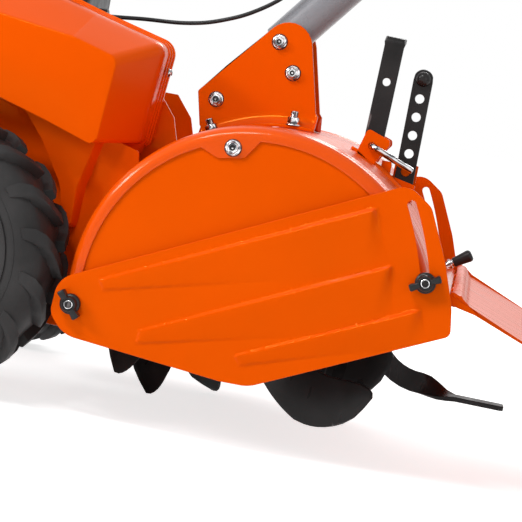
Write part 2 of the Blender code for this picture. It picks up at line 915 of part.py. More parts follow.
def make_muffler(silver, black):
    """Muffler over the cylinder at the front left, and its slotted guard."""
    x = (-0.640, -0.535)
    y = (-0.110, -0.058)
    z = (ENGINE_Z + 0.023, ENGINE_Z + 0.098)
    middle = ENGINE_Z + 0.060
    muffler = box("muffler", x, y, z, silver)
    round_edges(muffler, 0.016, 2)
    inlet = rod("muffler_inlet", (-0.560, -0.062, middle), (-0.560, -0.0462 - GAP, middle), 0.012, None, 16)
    outlet = rod("muffler_outlet", (-0.625, -0.090, middle), (-0.652, -0.090, middle), 0.009, None, 16)
    fuse(muffler, inlet, outlet)
    wall = 0.0015
    clear = 0.0105
    outer = box(
        "muffler_guard",
        (x[0] + 0.012, x[1] + clear),
        (y[0] - clear, y[1] - 0.004),
        (z[0] - clear, z[1] + clear),
        black,
    )
    round_edges(outer, 0.010, 2)
    hollow = box(
        "guard_hollow",
        (x[0] - 0.05, x[1] + clear - wall),
        (y[0] - clear + wall, y[1] + 0.05),
        (z[0] - clear + wall, z[1] + clear - wall),
    )
    round_edges(hollow, 0.0085, 2)
    slots = []
    for i in range(4):
        left = x[0] + 0.030 + i * 0.020
        slots.append(
            box("guard_slot", (left, left + 0.011), (y[0] - 0.05, y[0]), (z[0] + 0.012, z[1] - 0.012))
        )
    between = x[0] + 0.0655
    stay = rod(
        "guard_stay",
        (between, y[0] - clear + 0.0005, middle),
        (between, y[0] - GAP, middle),
        0.004,
        None,
        10,
    )
    cut(outer, hollow, *slots)
    return fuse(outer, stay)


def make_dipstick(place, finish):
    start = (place.x, -0.064 - GAP, place.z)
    profile = [(0.0, 0.0), (0.0, 0.013), (0.006, 0.013), (0.008, 0.006), (0.010, 0.0)]
    cap = turned("oil_dipstick", start, (0, -1, 0), profile, finish, 16, start)
    wing = box(
        "dipstick_wing",
        (place.x - 0.011, place.x + 0.011),
        (start[1] - 0.014, start[1] - 0.004),
        (place.z - 0.0025, place.z + 0.0025),
    )
    return fuse(cap, wing)


# Belt drive


def pulley(name, x, z, radius, shaft_end, finish, shaft_radius):
    """A V pulley on its own stub of shaft."""
    low = PULLEY_Y - PULLEY_WIDTH / 2.0
    profile = [
        (-0.006, 0.0),
        (-0.006, shaft_radius + 0.006),
        (0.0, shaft_radius + 0.006),
        (0.0, radius),
        (0.0025, radius),
        (0.0065, radius - 0.0105),
        (PULLEY_WIDTH - 0.0065, radius - 0.0105),
        (PULLEY_WIDTH - 0.0025, radius),
        (PULLEY_WIDTH, radius),
        (PULLEY_WIDTH, shaft_radius),
        (shaft_end - low, shaft_radius),
        (shaft_end - low, 0.0),
    ]
    return turned(name, (x, low, z), (0, 1, 0), profile, finish, 18, (x, PULLEY_Y, z))


def make_belt_drive(steel, rubber):
    engine = (ENGINE_X, ENGINE_Z)
    driven = (INPUT_X, INPUT_Z)
    pulley("engine_pulley", *engine, ENGINE_PULLEY_RADIUS, -0.030, steel, CRANK_RADIUS)
    pulley("input_pulley", *driven, INPUT_PULLEY_RADIUS, -0.012, steel, INPUT_SHAFT_RADIUS)
    inner = hull_of_circles(engine, ENGINE_PULLEY_RADIUS - 0.0075, driven, INPUT_PULLEY_RADIUS - 0.0075, 14)
    outer = hull_of_circles(engine, ENGINE_PULLEY_RADIUS + 0.0005, driven, INPUT_PULLEY_RADIUS + 0.0005, 14)
    belt = belt_ring("drive_belt", inner, outer, rubber)
    make_idler(steel)
    return belt


def belt_ring(name, inner, outer, finish):
    """A closed V belt: a narrow inner face and a broad outer face."""
    build = bmesh.new()
    rings = []
    for (ix, iz), (ox, oz) in zip(inner, outer):
        ring = [
            build.verts.new((ix, PULLEY_Y - BELT_INNER_HALF, iz)),
            build.verts.new((ix, PULLEY_Y + BELT_INNER_HALF, iz)),
            build.verts.new((ox, PULLEY_Y + BELT_OUTER_HALF, oz)),
            build.verts.new((ox, PULLEY_Y - BELT_OUTER_HALF, oz)),
        ]
        rings.append(ring)
    for i, first in enumerate(rings):
        second = rings[(i + 1) % len(rings)]
        for k in range(4):
            m = (k + 1) % 4
            build.faces.new((first[k], first[m], second[m], second[k]))
    return add(name, build, finish)


IDLER_X = -0.330
IDLER_RADIUS = 0.022
IDLER_ARM_PIVOT = (-0.2620, 0.3720)


def idler_place():
    """The idler's centre, on the belt's upper run."""
    start = Vector((ENGINE_X, ENGINE_Z))
    end = Vector((INPUT_X, INPUT_Z))
    between = end - start
    lean = math.asin((INPUT_PULLEY_RADIUS - ENGINE_PULLEY_RADIUS) / between.length)
    facing = math.atan2(between.y, between.x)
    normal = Vector((math.cos(facing + lean + math.pi / 2), math.sin(facing + lean + math.pi / 2)))
    on_belt = start + normal * (ENGINE_PULLEY_RADIUS + 0.0005)
    along = Vector((normal.y, -normal.x))
    reach = (IDLER_X - on_belt.x) / along.x
    return on_belt + along * reach + normal * (IDLER_RADIUS + RUNNING_GAP + 0.003)


def make_idler(steel):
    """The idler pulley on its arm, which the clutch cable pulls down on the belt."""
    place = idler_place()
    low = PULLEY_Y - 0.008
    profile = [
        (0.0, 0.0),
        (0.0, IDLER_RADIUS + 0.002),
        (0.0006, IDLER_RADIUS + 0.002),
        (0.0014, IDLER_RADIUS),
        (0.0146, IDLER_RADIUS),
        (0.0154, IDLER_RADIUS + 0.002),
        (0.016, IDLER_RADIUS + 0.002),
        (0.016, 0.0),
    ]
    centre = (place.x, PULLEY_Y, place.y)
    wheel = turned("idler_pulley", (place.x, low, place.y), (0, 1, 0), profile, steel, 18, centre)
    pin_hole = rod(
        "idler_hole",
        (place.x, low - 0.01, place.y),
        (place.x, low + 0.03, place.y),
        0.005 + RUNNING_GAP,
        None,
        16,
    )
    cut(wheel, pin_hole)
    pivot = (IDLER_ARM_PIVOT[0], -0.0925, IDLER_ARM_PIVOT[1])
    arm = prism(
        "idler_arm",
        hull_of_circles(IDLER_ARM_PIVOT, 0.012, (place.x, place.y), 0.010, 8),
        -0.1000,
        -0.0960,
        steel,
        "Y",
        pivot,
    )
    pin = rod(
        "idler_pin", (place.x, PULLEY_Y - 0.009, place.y), (place.x, -0.098, place.y), 0.005, None, 16
    )
    hub = rod("idler_hub", (pivot[0], -0.102, pivot[2]), (pivot[0], -0.094, pivot[2]), 0.010, None, 16)
    shaft = rod(
        "idler_shaft", (pivot[0], -0.100, pivot[2]), (pivot[0], -0.068 - GAP, pivot[2]), 0.005, None, 16
    )
    fuse(arm, pin, hub, shaft)
    return wheel


def cover_rim(inset):
    """The cover's outline where it meets the engine, where the lip turns out."""
    i = inset
    return rounded_outline(
        [
            (-0.1300 - i, 0.3220 + i, 0.012),
            (-0.1172 - i, 0.4533 - i, 0.020),
            (-0.2130, 0.4766 - i, 0.050),
            (-0.3300, 0.5095 - i, 0.060),
            (-0.4400, 0.5120 - i, 0.060),
            (-0.5200 + i, 0.4550 - i, 0.050),
            (-0.5200 + i, 0.3500 + i, 0.030),
            (-0.4400, 0.3540 + i, 0.020),
            (-0.3300, 0.3600 + i, 0.030),
            (-0.1750, 0.3155 + i, 0.020),
        ],
        3,
    )


def cover_face(inset):
    """The outline of the flat side face, inside its ridge."""
    i = inset
    return rounded_outline(
        [
            (-0.1744 - i, 0.3170 + i, 0.008),
            (-0.1660 - i, 0.4240 - i, 0.014),
            (-0.2210, 0.4390 - i, 0.050),
            (-0.3300, 0.4530 - i, 0.060),
            (-0.4200, 0.4560 - i, 0.040),
            (-0.4850 + i, 0.4200 - i, 0.030),
            (-0.4900 + i, 0.3650 + i, 0.020),
            (-0.4400, 0.3640 + i, 0.020),
            (-0.3300, 0.3615 + i, 0.030),
            (-0.2330, 0.3346 + i, 0.020),
        ],
        3,
    )


def leg_rim(inset):
    i = inset
    return rounded_outline(
        [
            (-0.1320 - i, 0.335, 0),
            (-0.1585 - i, 0.262, 0.030),
            (-0.1765 - i, 0.200 + i, 0.010),
            (-0.2060 + i, 0.200 + i, 0.006),
            (-0.2250 + i, 0.270, 0.040),
            (-0.2600 + i, 0.322, 0.020),
            (-0.300, 0.370, 0),
        ],
        3,
    )


def leg_face(inset):
    i = inset
    return rounded_outline(
        [
            (-0.1790 - i, 0.335, 0),
            (-0.1960 - i, 0.262, 0.030),
            (-0.1960 - i, 0.214 + i, 0.004),
            (-0.2070 + i, 0.214 + i, 0.003),
            (-0.2180 + i, 0.262, 0.040),
            (-0.2500 + i, 0.312, 0.020),
            (-0.300, 0.370, 0),
        ],
        3,
    )


def drafted(name, rim, face, depths, finish=None):
    """A box whose walls run square from the rim to the shoulder, lean in to the face, and round over."""
    inner, shoulder, outer = depths
    lean = outer - shoulder
    return lofted(
        name,
        [
            (rim, inner),
            (rim, shoulder),
            (between(rim, face, 0.86), shoulder + 0.80 * lean),
            (between(rim, face, 0.97), shoulder + 0.95 * lean),
            (between(rim, face, 1.05), outer),
        ],
        finish,
    )


def make_belt_cover(finish):
    """A pressed shell over both pulleys, open towards the engine, with a narrow leg beside the wheel."""
    wall = COVER_WALL
    past = COVER_INNER + 0.02
    shell = drafted(
        "belt_cover", cover_rim(0.0), cover_face(0.0), (COVER_INNER, COVER_SHOULDER, COVER_OUTER), finish
    )
    leg = drafted("cover_leg", leg_rim(0.0), leg_face(0.0), (COVER_INNER, LEG_SHOULDER, LEG_OUTER))
    fuse(shell, leg)
    room = (past, COVER_SHOULDER + wall / 2.0, COVER_OUTER + wall)
    leg_room = (past, LEG_SHOULDER + wall / 2.0, LEG_OUTER + wall)
    hollow = drafted("cover_hollow", cover_rim(wall), cover_face(wall), room)
    leg_hollow = drafted("cover_leg_hollow", leg_rim(wall), leg_face(wall), leg_room)
    cut(shell, hollow, leg_hollow)
    # A lug holds the cover to the frame's gusset
    lug = box("cover_lug", (-0.1500, -0.1285), (-0.0800, -0.0680 - GAP), (0.335, 0.382))
    return fuse(shell, lug)


# Hood, side plates and shields


def make_hood(finish):
    """A rolled sheet with turned down edges, a lip for the flap's hinge, and slots."""
    half = HOOD_HALF
    fillet = HOOD_EDGE_FILLET
    inner_flange = HOOD_RADIUS - HOOD_FLANGE
    outer = [(-half, inner_flange)]
    for degrees in (180.0, 135.0, 90.0):
        turn = math.radians(degrees)
        outer.append(
            (-half + fillet + fillet * math.cos(turn), HOOD_RADIUS - fillet + fillet * math.sin(turn))
        )
    inner = [(-half + SHEET, inner_flange)]
    bend = fillet - SHEET
    for degrees in (180.0, 135.0, 90.0):
        turn = math.radians(degrees)
        inner.append((-half + fillet + bend * math.cos(turn), HOOD_RADIUS - fillet + bend * math.sin(turn)))
    left = outer + [(-y, r) for y, r in outer[::-1]]
    right = [(-y, r) for y, r in inner] + inner[::-1]
    profile = left + right
    build = bmesh.new()
    steps = 22
    rings = []
    for i in range(steps + 1):
        turn = math.radians(HOOD_FRONT_ANGLE + (HOOD_REAR_ANGLE - HOOD_FRONT_ANGLE) * i / steps)
        ring = [
            build.verts.new((TINE_X + r * math.cos(turn), y, TINE_Z + r * math.sin(turn)))
            for y, r in profile
        ]
        rings.append(ring)
    count = len(profile)
    build.faces.new(rings[0])
    build.faces.new(rings[-1][::-1])
    for first, second in zip(rings, rings[1:]):
        for k in range(count):
            m = (k + 1) % count
            build.faces.new((first[k], first[m], second[m], second[k]))
    hood = add("tine_hood", build, finish)

    # Lip that runs out from the rear edge to under the hinge rod
    root = on_circle((TINE_X, TINE_Z), HOOD_RADIUS - 0.0015, HOOD_REAR_ANGLE + 1.0)
    end_x = FLAP_HINGE[0] - HINGE_EYE_RADIUS - GAP
    lip = prism(
        "hood_lip",
        [
            (root[0] - 0.0005, root[1] - SHEET / 2),
            (end_x, FLAP_HINGE[1] - SHEET / 2),
            (end_x, FLAP_HINGE[1] + SHEET / 2),
            (root[0] - 0.0005, root[1] + SHEET / 2 + 0.002),
        ],
        -half + 0.012,
        half - 0.012,
    )
    # Bearing loops for the hinge rod
    loops = []
    for y in (-0.226, -0.010, 0.206):
        loops.append(
            rod(
                "hinge_loop",
                (FLAP_HINGE[0], y, FLAP_HINGE[1]),
                (FLAP_HINGE[0], y + 0.020, FLAP_HINGE[1]),
                HINGE_EYE_RADIUS,
                None,
                10,
            ),
        )
        loops.append(
            box(
                "hinge_strap",
                (end_x - 0.004, FLAP_HINGE[0]),
                (y, y + 0.020),
                (FLAP_HINGE[1] - SHEET / 2, FLAP_HINGE[1] + SHEET / 2),
            ),
        )
    # Tabs at the top of each flange that the side plates bolt to
    tabs = []
    for side in (-1, 1):
        low, high = sorted((side * half, side * (half - SHEET)))
        tab = [
            on_circle((TINE_X, TINE_Z), inner_flange + 0.004, 116.0),
            over_hood(-0.03315, 111.358),
            over_hood(-0.03669, 101.119),
            on_circle((TINE_X, TINE_Z), inner_flange + 0.004, 96.0),
        ]
        tabs.append(prism("hood_tab", tab, low, high))
    # Studs for the shields' wing knobs, welded in the flanges
    studs = []
    for side in (-1, 1):
        for x, z in (SHIELD_PIVOT, SHIELD_SLOT_POINT):
            start = (x, side * (half - 0.0012), z)
            studs.append(
                rod("shield_stud", start, (x, side * (SHIELD_Y + 0.018), z), STUD_RADIUS, None, 10)
            )
            studs.append(rod("stud_washer", start, (x, side * (SHIELD_Y - GAP), z), 0.008, None, 10))
        x, z = HOOD_TAB_BOLT
        face = side * (half - 0.0008)
        studs.append(
            rod("tab_washer", (x, face, z), (x, side * (half + 0.0018), z), FLANGE_HEAD_RADIUS, None, 12)
        )
        studs.append(
            rod("tab_bolt", (x, face, z), (x, side * (half + 0.0065), z), BOLT_HEAD_RADIUS, None, 6)
        )
    fuse(hood, lip, *loops, *tabs, *studs)
    gate = box("hood_gate", (-0.30, TINE_X - 0.060), (-0.0620, 0.0620), (0.050, 0.2530))
    slot_z = hood_height(STAKE_X)
    slot = box(
        "stake_slot",
        (STAKE_X - 0.0160, STAKE_X + 0.0160),
        (-0.0070, 0.0070),
        (slot_z - 0.070, slot_z + 0.080),
    )
    rod_bore = rod(
        "hinge_bore",
        (FLAP_HINGE[0], -0.3, FLAP_HINGE[1]),
        (FLAP_HINGE[0], 0.3, FLAP_HINGE[1]),
        HINGE_ROD_RADIUS + GAP,
        None,
        10,
    )
    cut(hood, gate, slot, rod_bore)
    return hood


def shield_outline():
    """The shield's outer line, its corners rounded as pressed."""
    x, z = SHIELD_PIVOT
    u, w = SHIELD_SLOT_POINT
    corners = [
        (x - 0.0201, z + 0.0260, 0.030),
        (u - 0.0388, w + 0.1055, 0.030),
        (u - 0.0063, w + 0.0870, 0.014),
        (u + 0.0137, w + 0.0355, 0.060),
        (u + 0.0312, w - 0.0135, 0.060),
        (*SHIELD_REAR_CORNER, 0.010),
        (*SHIELD_LOW_CORNER, 0.045),
        (SHIELD_LOW_CORNER[0] - 0.0340, SHIELD_LOW_CORNER[1] - 0.0005, 0.045),
        (x - 0.0026, z - 0.0375, 0.036),
        (x - 0.0226, z - 0.0155, 0.020),
    ]
    return rounded_outline(corners, 4)


def make_side_plate(name, side, finish):
    """The flat end wall behind the shield, with studs for the two knobs."""
    outer = HOOD_RADIUS - HOOD_EDGE_FILLET - 0.001
    top = side * (HOOD_HALF - SHEET - GAP)
    low, high = sorted((top, top - side * 0.003))
    # Its lower edge stays behind the shield's
    x, z = SHIELD_LOW_CORNER
    outline = arc((TINE_X, TINE_Z), outer, 192.0, 3.0, 24)
    outline += [(x + 0.0020, z + 0.0085), (x - 0.0340, z + 0.0075)]
    outline.append((SHIELD_PIVOT[0] + 0.0164, SHIELD_PIVOT[1] - 0.0305))
    plate = prism(name, outline, low, high, finish)
    return plate


def rib_wedge(left_top, right_top, right_low, left_low, depth, side):
    """A raised wedge: crisp along its upper edge and running out to nothing along its lower one."""
    build = bmesh.new()
    base = side * (SHIELD_Y + SHIELD_SHEET - 0.0012)
    corners = [Vector(c) for c in (left_top, right_top, right_low, left_low)]
    middle = sum(corners, Vector((0.0, 0.0))) / 4.0
    ridge_left = corners[0] + (corners[3] - corners[0]) * 0.20 + (middle - corners[0]) * 0.06
    ridge_right = corners[1] + (corners[2] - corners[1]) * 0.14 + (middle - corners[1]) * 0.05
    low = [build.verts.new((c.x, base, c.y)) for c in corners]
    ridge = []
    for point, rise in ((ridge_left, depth * 0.75), (ridge_right, depth)):
        ridge.append(build.verts.new((point.x, base + side * rise, point.y)))
    build.faces.new((low[0], low[1], ridge[1], ridge[0]))
    build.faces.new((low[1], low[2], ridge[1]))
    build.faces.new((low[2], low[3], ridge[0], ridge[1]))
    build.faces.new((low[3], low[0], ridge[0]))
    build.faces.new(low[::-1])
    bmesh.ops.triangulate(build, faces=build.faces)
    return build


RIBS = (
    ((-0.1317, 0.1706), (0.1689, 0.3137), (0.2033, 0.2398), (-0.1221, 0.1500)),
    ((-0.0726, 0.1227), (0.2005, 0.2340), (0.2171, 0.1749), (-0.0757, 0.1040)),
    ((0.0382, 0.1080), (0.2406, 0.1985), (0.2596, 0.1760), (0.0500, 0.0935)),
)


def make_side_shield(name, side, finish):
    """A pressed sheet with a fan of three wedge ribs, a pivot hole and a curved slot."""
    pivot = SHIELD_PIVOT
    inner = side * SHIELD_Y
    outer = side * (SHIELD_Y + SHIELD_SHEET)
    low, high = sorted((inner, outer))
    origin = (pivot[0], inner, pivot[1])
    shield = prism(name, shield_outline(), low, high, finish, "Y", origin)
    ribs = []
    for corners in RIBS:
        ribs.append(add(name + "_rib", rib_wedge(*corners, RIB_HEIGHT, side)))
    fuse(shield, *ribs)
    reach = Vector(SHIELD_SLOT_POINT) - Vector(pivot)
    facing = math.degrees(math.atan2(reach.y, reach.x))
    half = SLOT_WIDTH / 2.0
    first = facing
    last = facing + SHIELD_DROP_DEG
    slot = arc(pivot, reach.length - half, first, last, 8)
    slot += arc(on_circle(pivot, reach.length, last), half, last + 180.0, last, 5)[1:-1]
    slot += arc(pivot, reach.length + half, last, first, 8)
    slot += arc(on_circle(pivot, reach.length, first), half, first, first - 180.0, 5)[1:-1]
    slot_tool = prism(name + "_slot", slot, low - 0.02, high + 0.02)
    hole = rod(
        name + "_hole",
        (pivot[0], low - 0.02, pivot[1]),
        (pivot[0], high + 0.02, pivot[1]),
        STUD_RADIUS + GAP,
        None,
        16,
    )
    return cut(shield, slot_tool, hole)


def make_wing_knob(name, side, place, wing_deg, finish):
    """A moulded wing knob, screwed on a stud."""
    x, z = place
    seat = side * (SHIELD_Y + SHIELD_SHEET + GAP)
    ahead = (0, side, 0)
    profile = [(0.0, 0.0), (0.0, 0.0115), (0.005, 0.0120), (0.009, 0.0085), (0.014, 0.0080), (0.014, 0.0)]
    knob = turned(name, (x, seat, z), ahead, profile, finish, 12, (x, seat, z))
    turn = math.radians(wing_deg)
    wings = []
    for hand in (-1, 1):
        out = Vector((math.cos(turn), math.sin(turn))) * hand
        across = Vector((-out.y, out.x)) * 0.0032
        centre = Vector((x, z))
        corners = [
            centre + out * 0.004 + across,
            centre + out * 0.018 + across * 1.3,
            centre + out * 0.018 - across * 1.3,
            centre + out * 0.004 - across,
        ]
        low, high = sorted((seat + side * 0.004, seat + side * 0.0165))
        wings.append(prism(name + "_wing", [tuple(c) for c in corners], low, high))
    fuse(knob, *wings)
    bore = rod(
        name + "_bore", (x, seat - side * 0.01, z), (x, seat + side * 0.03, z), STUD_RADIUS + GAP, None, 10
    )
    return cut(knob, bore)


# Flap, its rod and its latch


def make_flap(finish, steel, black):
    drop = math.radians(FLAP_DROP_DEG)
    ahead = Vector((math.cos(drop), -math.sin(drop)))
    up = Vector((math.sin(drop), math.cos(drop)))
    hinge = Vector(FLAP_HINGE)
    start = hinge + ahead * 0.0095
    end = hinge + ahead * FLAP_LENGTH
    half = FLAP_HALF
    sheet = 0.0025

    def strip(first, last, low, high):
        return [
            tuple(first + up * low),
            tuple(last + up * low),
            tuple(last + up * high),
            tuple(first + up * high),
        ]

    origin = (hinge.x, 0.0, hinge.y)
    inset = 0.0006
    flap = prism(
        "rear_flap",
        strip(start, end - ahead * inset, -sheet / 2, sheet / 2),
        -half + inset,
        half - inset,
        finish,
        "Y",
        origin,
    )
    pieces = []
    for side in (-1, 1):
        low, high = sorted((side * half, side * (half - sheet)))
        pieces.append(
            prism(
                "flap_side",
                strip(start + ahead * 0.006, end - ahead * inset * 2, -0.012, 0.0002),
                low,
                high,
            ),
        )
    pieces.append(
        prism(
            "flap_end",
            strip(end - ahead * sheet, end, -0.0115, 0.0004),
            -half + inset / 2,
            half - inset / 2,
        ),
    )
    for across in (0.35, 0.62):
        rib_at = hinge + ahead * FLAP_LENGTH * across
        rib = [
            tuple(rib_at - ahead * 0.010),
            tuple(rib_at - ahead * 0.004 + up * 0.0052),
            tuple(rib_at + ahead * 0.004 + up * 0.0052),
            tuple(rib_at + ahead * 0.010),
        ]
        pieces.append(prism("flap_rib", rib, -half + 0.030, half - 0.030))
    for y in (-0.120, 0.090):
        pieces.append(
            rod(
                "flap_eye", (hinge.x, y, hinge.y), (hinge.x, y + 0.030, hinge.y), HINGE_EYE_RADIUS, None, 10
            ),
        )
        pieces.append(
            prism(
                "flap_strap",
                strip(hinge, start + ahead * 0.004, -sheet * 0.45, sheet * 0.45),
                y + 0.0004,
                y + 0.0296,
            ),
        )
    fuse(flap, *pieces)
    cut(
        flap,
        rod(
            "flap_bore",
            (hinge.x, -0.3, hinge.y),
            (hinge.x, 0.3, hinge.y),
            HINGE_ROD_RADIUS + RUNNING_GAP,
            None,
            10,
        ),
    )
    rod(
        "flap_hinge_rod",
        (hinge.x, -0.236, hinge.y),
        (hinge.x, 0.236, hinge.y),
        HINGE_ROD_RADIUS,
        steel,
        14,
        origin,
    )
    make_flap_latch(steel, black)
    return flap


LATCH = (0.2560, 0.2500)


def make_flap_latch(steel, black):
    """The latch handle: a plated foot and shank with a black grip, on the back of the hood."""
    latch_turn = math.degrees(math.atan2(LATCH[1] - TINE_Z, LATCH[0] - TINE_X))
    foot = Vector(on_circle((TINE_X, TINE_Z), HOOD_RADIUS + GAP, latch_turn))
    out = Vector((math.cos(math.radians(latch_turn)), math.sin(math.radians(latch_turn))))
    pivot = foot + out * 0.006
    base = turned(
        "flap_latch_handle",
        (foot.x, 0.0, foot.y),
        (out.x, 0.0, out.y),
        [(0.0, 0.0), (0.0, 0.0085), (0.0035, 0.0085), (0.005, 0.006), (0.020, 0.006), (0.020, 0.0)],
        steel,
        16,
        (pivot.x, 0.0, pivot.y),
    )
    lean = math.radians(36.0)
    ahead = Vector((math.cos(lean), 0.0, math.sin(lean)))
    start = Vector((pivot.x, 0.0, pivot.y)) + Vector((out.x, 0.0, out.y)) * 0.006
    grip = turned(
        "latch_grip",
        start,
        ahead,
        [
            (0.0, 0.0),
            (0.0, 0.0045),
            (0.010, 0.0045),
            (0.011, 0.0075),
            (0.036, 0.0095),
            (0.039, 0.0075),
            (0.040, 0.0),
        ],
        None,
        14,
    )
    grip.data.materials.append(black)
    return fuse(base, grip)


# Depth stake, lever, bracket and pin


def make_stake(finish):
    """A drilled flat bar whose lower end turns back and twists flat into a skid."""
    half = STAKE_WIDTH / 2.0
    x = STAKE_X
    top = STAKE_TOP - half
    thin = STAKE_THICKNESS / 2.0
    foot = STAKE_FOOT_Z
    build = bmesh.new()
    # stations: centre x, z, the lean of the bar's run in degrees, twist, half width, half thickness
    stations = [
        (x, top, -90.0, 0.0, half), (x, 0.34, -90.0, 0.0, half), (x, foot + 0.085, -90.0, 0.0, half)
    ]
    bend = 0.070
    for i in range(1, 6):
        turn = -90.0 + 90.0 * i / 6
        cx = x + bend - bend * math.cos(math.radians(90.0 * i / 6))
        cz = foot + 0.010 + bend - bend * math.sin(math.radians(90.0 * i / 6))
        stations.append((cx, cz, turn, 0.0, half * (1.0 + 0.25 * i / 6)))
    run = STAKE_FOOT_END - (x + bend)
    for i, twist in enumerate((15.0, 45.0, 75.0, 90.0)):
        along = run * (0.06 + 0.11 * i)
        stations.append(
            (x + bend + along, foot + 0.010 * (1.0 - i / 3.0), 0.0, twist, half * (1.15 - 0.05 * i))
        )
    stations.append((STAKE_FOOT_END - 0.006, foot, 0.0, 90.0, half))
    stations.append((STAKE_FOOT_END, foot, 0.0, 90.0, half * 0.8))
    rings = []
    for cx, cz, lean, twist, width in stations:
        along = Vector((math.cos(math.radians(lean)), 0.0, math.sin(math.radians(lean))))
        across = Vector((-along.z, 0.0, along.x))
        flat = Vector((0.0, 1.0, 0.0))
        turn = math.radians(twist)
        wide = across * math.cos(turn) + flat * math.sin(turn)
        deep = flat * math.cos(turn) - across * math.sin(turn)
        centre = Vector((cx, 0.0, cz))
        ring = [
            build.verts.new(centre + wide * width + deep * thin),
            build.verts.new(centre - wide * width + deep * thin),
            build.verts.new(centre - wide * width - deep * thin),
            build.verts.new(centre + wide * width - deep * thin),
        ]
        rings.append(ring)
    build.faces.new(rings[0])
    build.faces.new(rings[-1][::-1])
    for first, second in zip(rings, rings[1:]):
        for k in range(4):
            m = (k + 1) % 4
            build.faces.new((first[k], first[m], second[m], second[k]))
    bmesh.ops.triangulate(build, faces=build.faces)
    origin = (x, 0.0, top)
    stake = add("depth_stake", build, finish, origin)
    cap = rod("stake_round_top", (x, -thin, top), (x, thin, top), half, None, 24)
    knob = turned(
        "stake_knob",
        (x, -thin + 0.0005, top - 0.001),
        (0, -1, 0),
        [(0.0, 0.0), (0.0, 0.0092), (0.005, 0.0088), (0.008, 0.0065), (0.009, 0.0)],
        None,
        20,
    )
    fuse(stake, cap, knob)
    holes = []
    for i in range(7):
        z = STAKE_TOP_HOLE - i * STAKE_PITCH
        holes.append(rod("stake_hole", (x, -0.02, z), (x, 0.02, z), STAKE_HOLE_RADIUS, None, 8))
    return cut(stake, *holes)


def make_lever(finish):
    """A flat bar with a turned over hand end, which turns on the lock pin."""
    pivot = Vector(LEVER_PIVOT)
    half = STAKE_WIDTH / 2.0
    lean = math.radians(90.0 - 0.8)
    ahead = Vector((math.cos(lean), math.sin(lean)))
    across = Vector((ahead.y, -ahead.x))
    length = LEVER_TOP - pivot.y
    low, high = LEVER_Y - 0.003, LEVER_Y + 0.003

    def strip(start, end, width):
        a = pivot + ahead * start
        b = pivot + ahead * end
        return [
            tuple(a - across * width),
            tuple(b - across * width),
            tuple(b + across * width),
            tuple(a + across * width),
        ]

    origin = (pivot.x, LEVER_Y, pivot.y)
    lever = prism("stake_lock_lever", strip(0.0, length, half), low, high, finish, "Y", origin)
    foot = rod("lever_round_foot", (pivot.x, low, pivot.y), (pivot.x, high, pivot.y), half, None, 20)
    hand = prism("lever_hand", strip(length - 0.005, length, half + 0.001), low, high + 0.016)
    fuse(lever, foot, hand)
    hole_at = pivot + ahead * 0.0815
    hole = rod("lever_hole", (hole_at.x, -0.1, hole_at.y), (hole_at.x, 0.1, hole_at.y), 0.0050, None, 14)
    bore = rod(
        "lever_bore",
        (pivot.x, -0.1, pivot.y),
        (pivot.x, 0.1, pivot.y),
        LOCK_PIN_RADIUS + RUNNING_GAP,
        None,
        14,
    )
    return cut(lever, hole, bore)


def make_stake_bracket(finish):
    """A folded bracket on the hood: a base under both bars, a near ear with the pin hole, and a far guide."""
    near = -0.0275
    ear_x, ear_z = LEVER_PIVOT
    on_hood = math.degrees(math.atan2(ear_z - TINE_Z, ear_x - TINE_X))
    out = Vector((math.cos(math.radians(on_hood)), math.sin(math.radians(on_hood))))
    across = Vector((out.y, -out.x))
    middle = Vector(TINE_AXIS.xz)
    seat = HOOD_RADIUS + GAP

    def ear(half_width, low, high):
        first = middle + out * low
        last = middle + out * high
        a, b = across * -half_width, across * half_width
        return [tuple(first + a), tuple(last + a), tuple(last + b), tuple(first + b)]

    reach = (Vector(LEVER_PIVOT) - Vector(TINE_AXIS.xz)).length
    base = arc((TINE_X, TINE_Z), seat, on_hood + 5.5, on_hood - 22.0, 8)
    top = arc((TINE_X, TINE_Z), seat + 0.004, on_hood - 22.0, on_hood + 5.5, 8)
    low, high = seat + 0.001, reach + 0.0135
    bracket = prism("stake_bracket", base + top, near - 0.0045, 0.0310, finish)
    ears = [prism("bracket_ear", ear(0.0150, low, high + 0.0015), near - 0.0043, near - 0.0001)]
    ears.append(prism("bracket_back_ear", ear(0.0130, low, high - 0.0015), 0.0265, 0.0308))
    low_wall = arc((TINE_X, TINE_Z), seat + 0.0015, on_hood, on_hood - 21.5, 6)
    low_wall += arc((TINE_X, TINE_Z), seat + 0.012, on_hood - 21.5, on_hood, 6)
    ears.append(prism("bracket_near_wall", low_wall, near - 0.0041, near - 0.0003))
    guide_x = STAKE_X
    guide_z = hood_height(guide_x)
    for low, high in ((-0.0075, -0.0035), (0.0035, 0.0075)):
        edge = 0.0145
        front, back = guide_x - edge, guide_x + edge
        guide = [
            (front, hood_height(front, seat + 0.002)),
            (back, hood_height(back, seat + 0.002)),
            (back, guide_z + 0.036),
            (front, guide_z + 0.036),
        ]
        ears.append(prism("stake_guide", guide, low, high))
    fuse(bracket, *ears)
    slot_half = STAKE_WIDTH / 2.0 + RUNNING_GAP
    slot = box(
        "bracket_slot",
        (STAKE_X - slot_half, STAKE_X + slot_half),
        (-0.0034, 0.0034),
        (guide_z - 0.040, guide_z + 0.080),
    )
    pin_bore = rod(
        "bracket_pin_bore",
        (ear_x, -0.1, ear_z),
        (ear_x, 0.1, ear_z),
        LOCK_PIN_RADIUS + RUNNING_GAP,
        None,
        14,
    )
    return cut(bracket, slot, pin_bore)


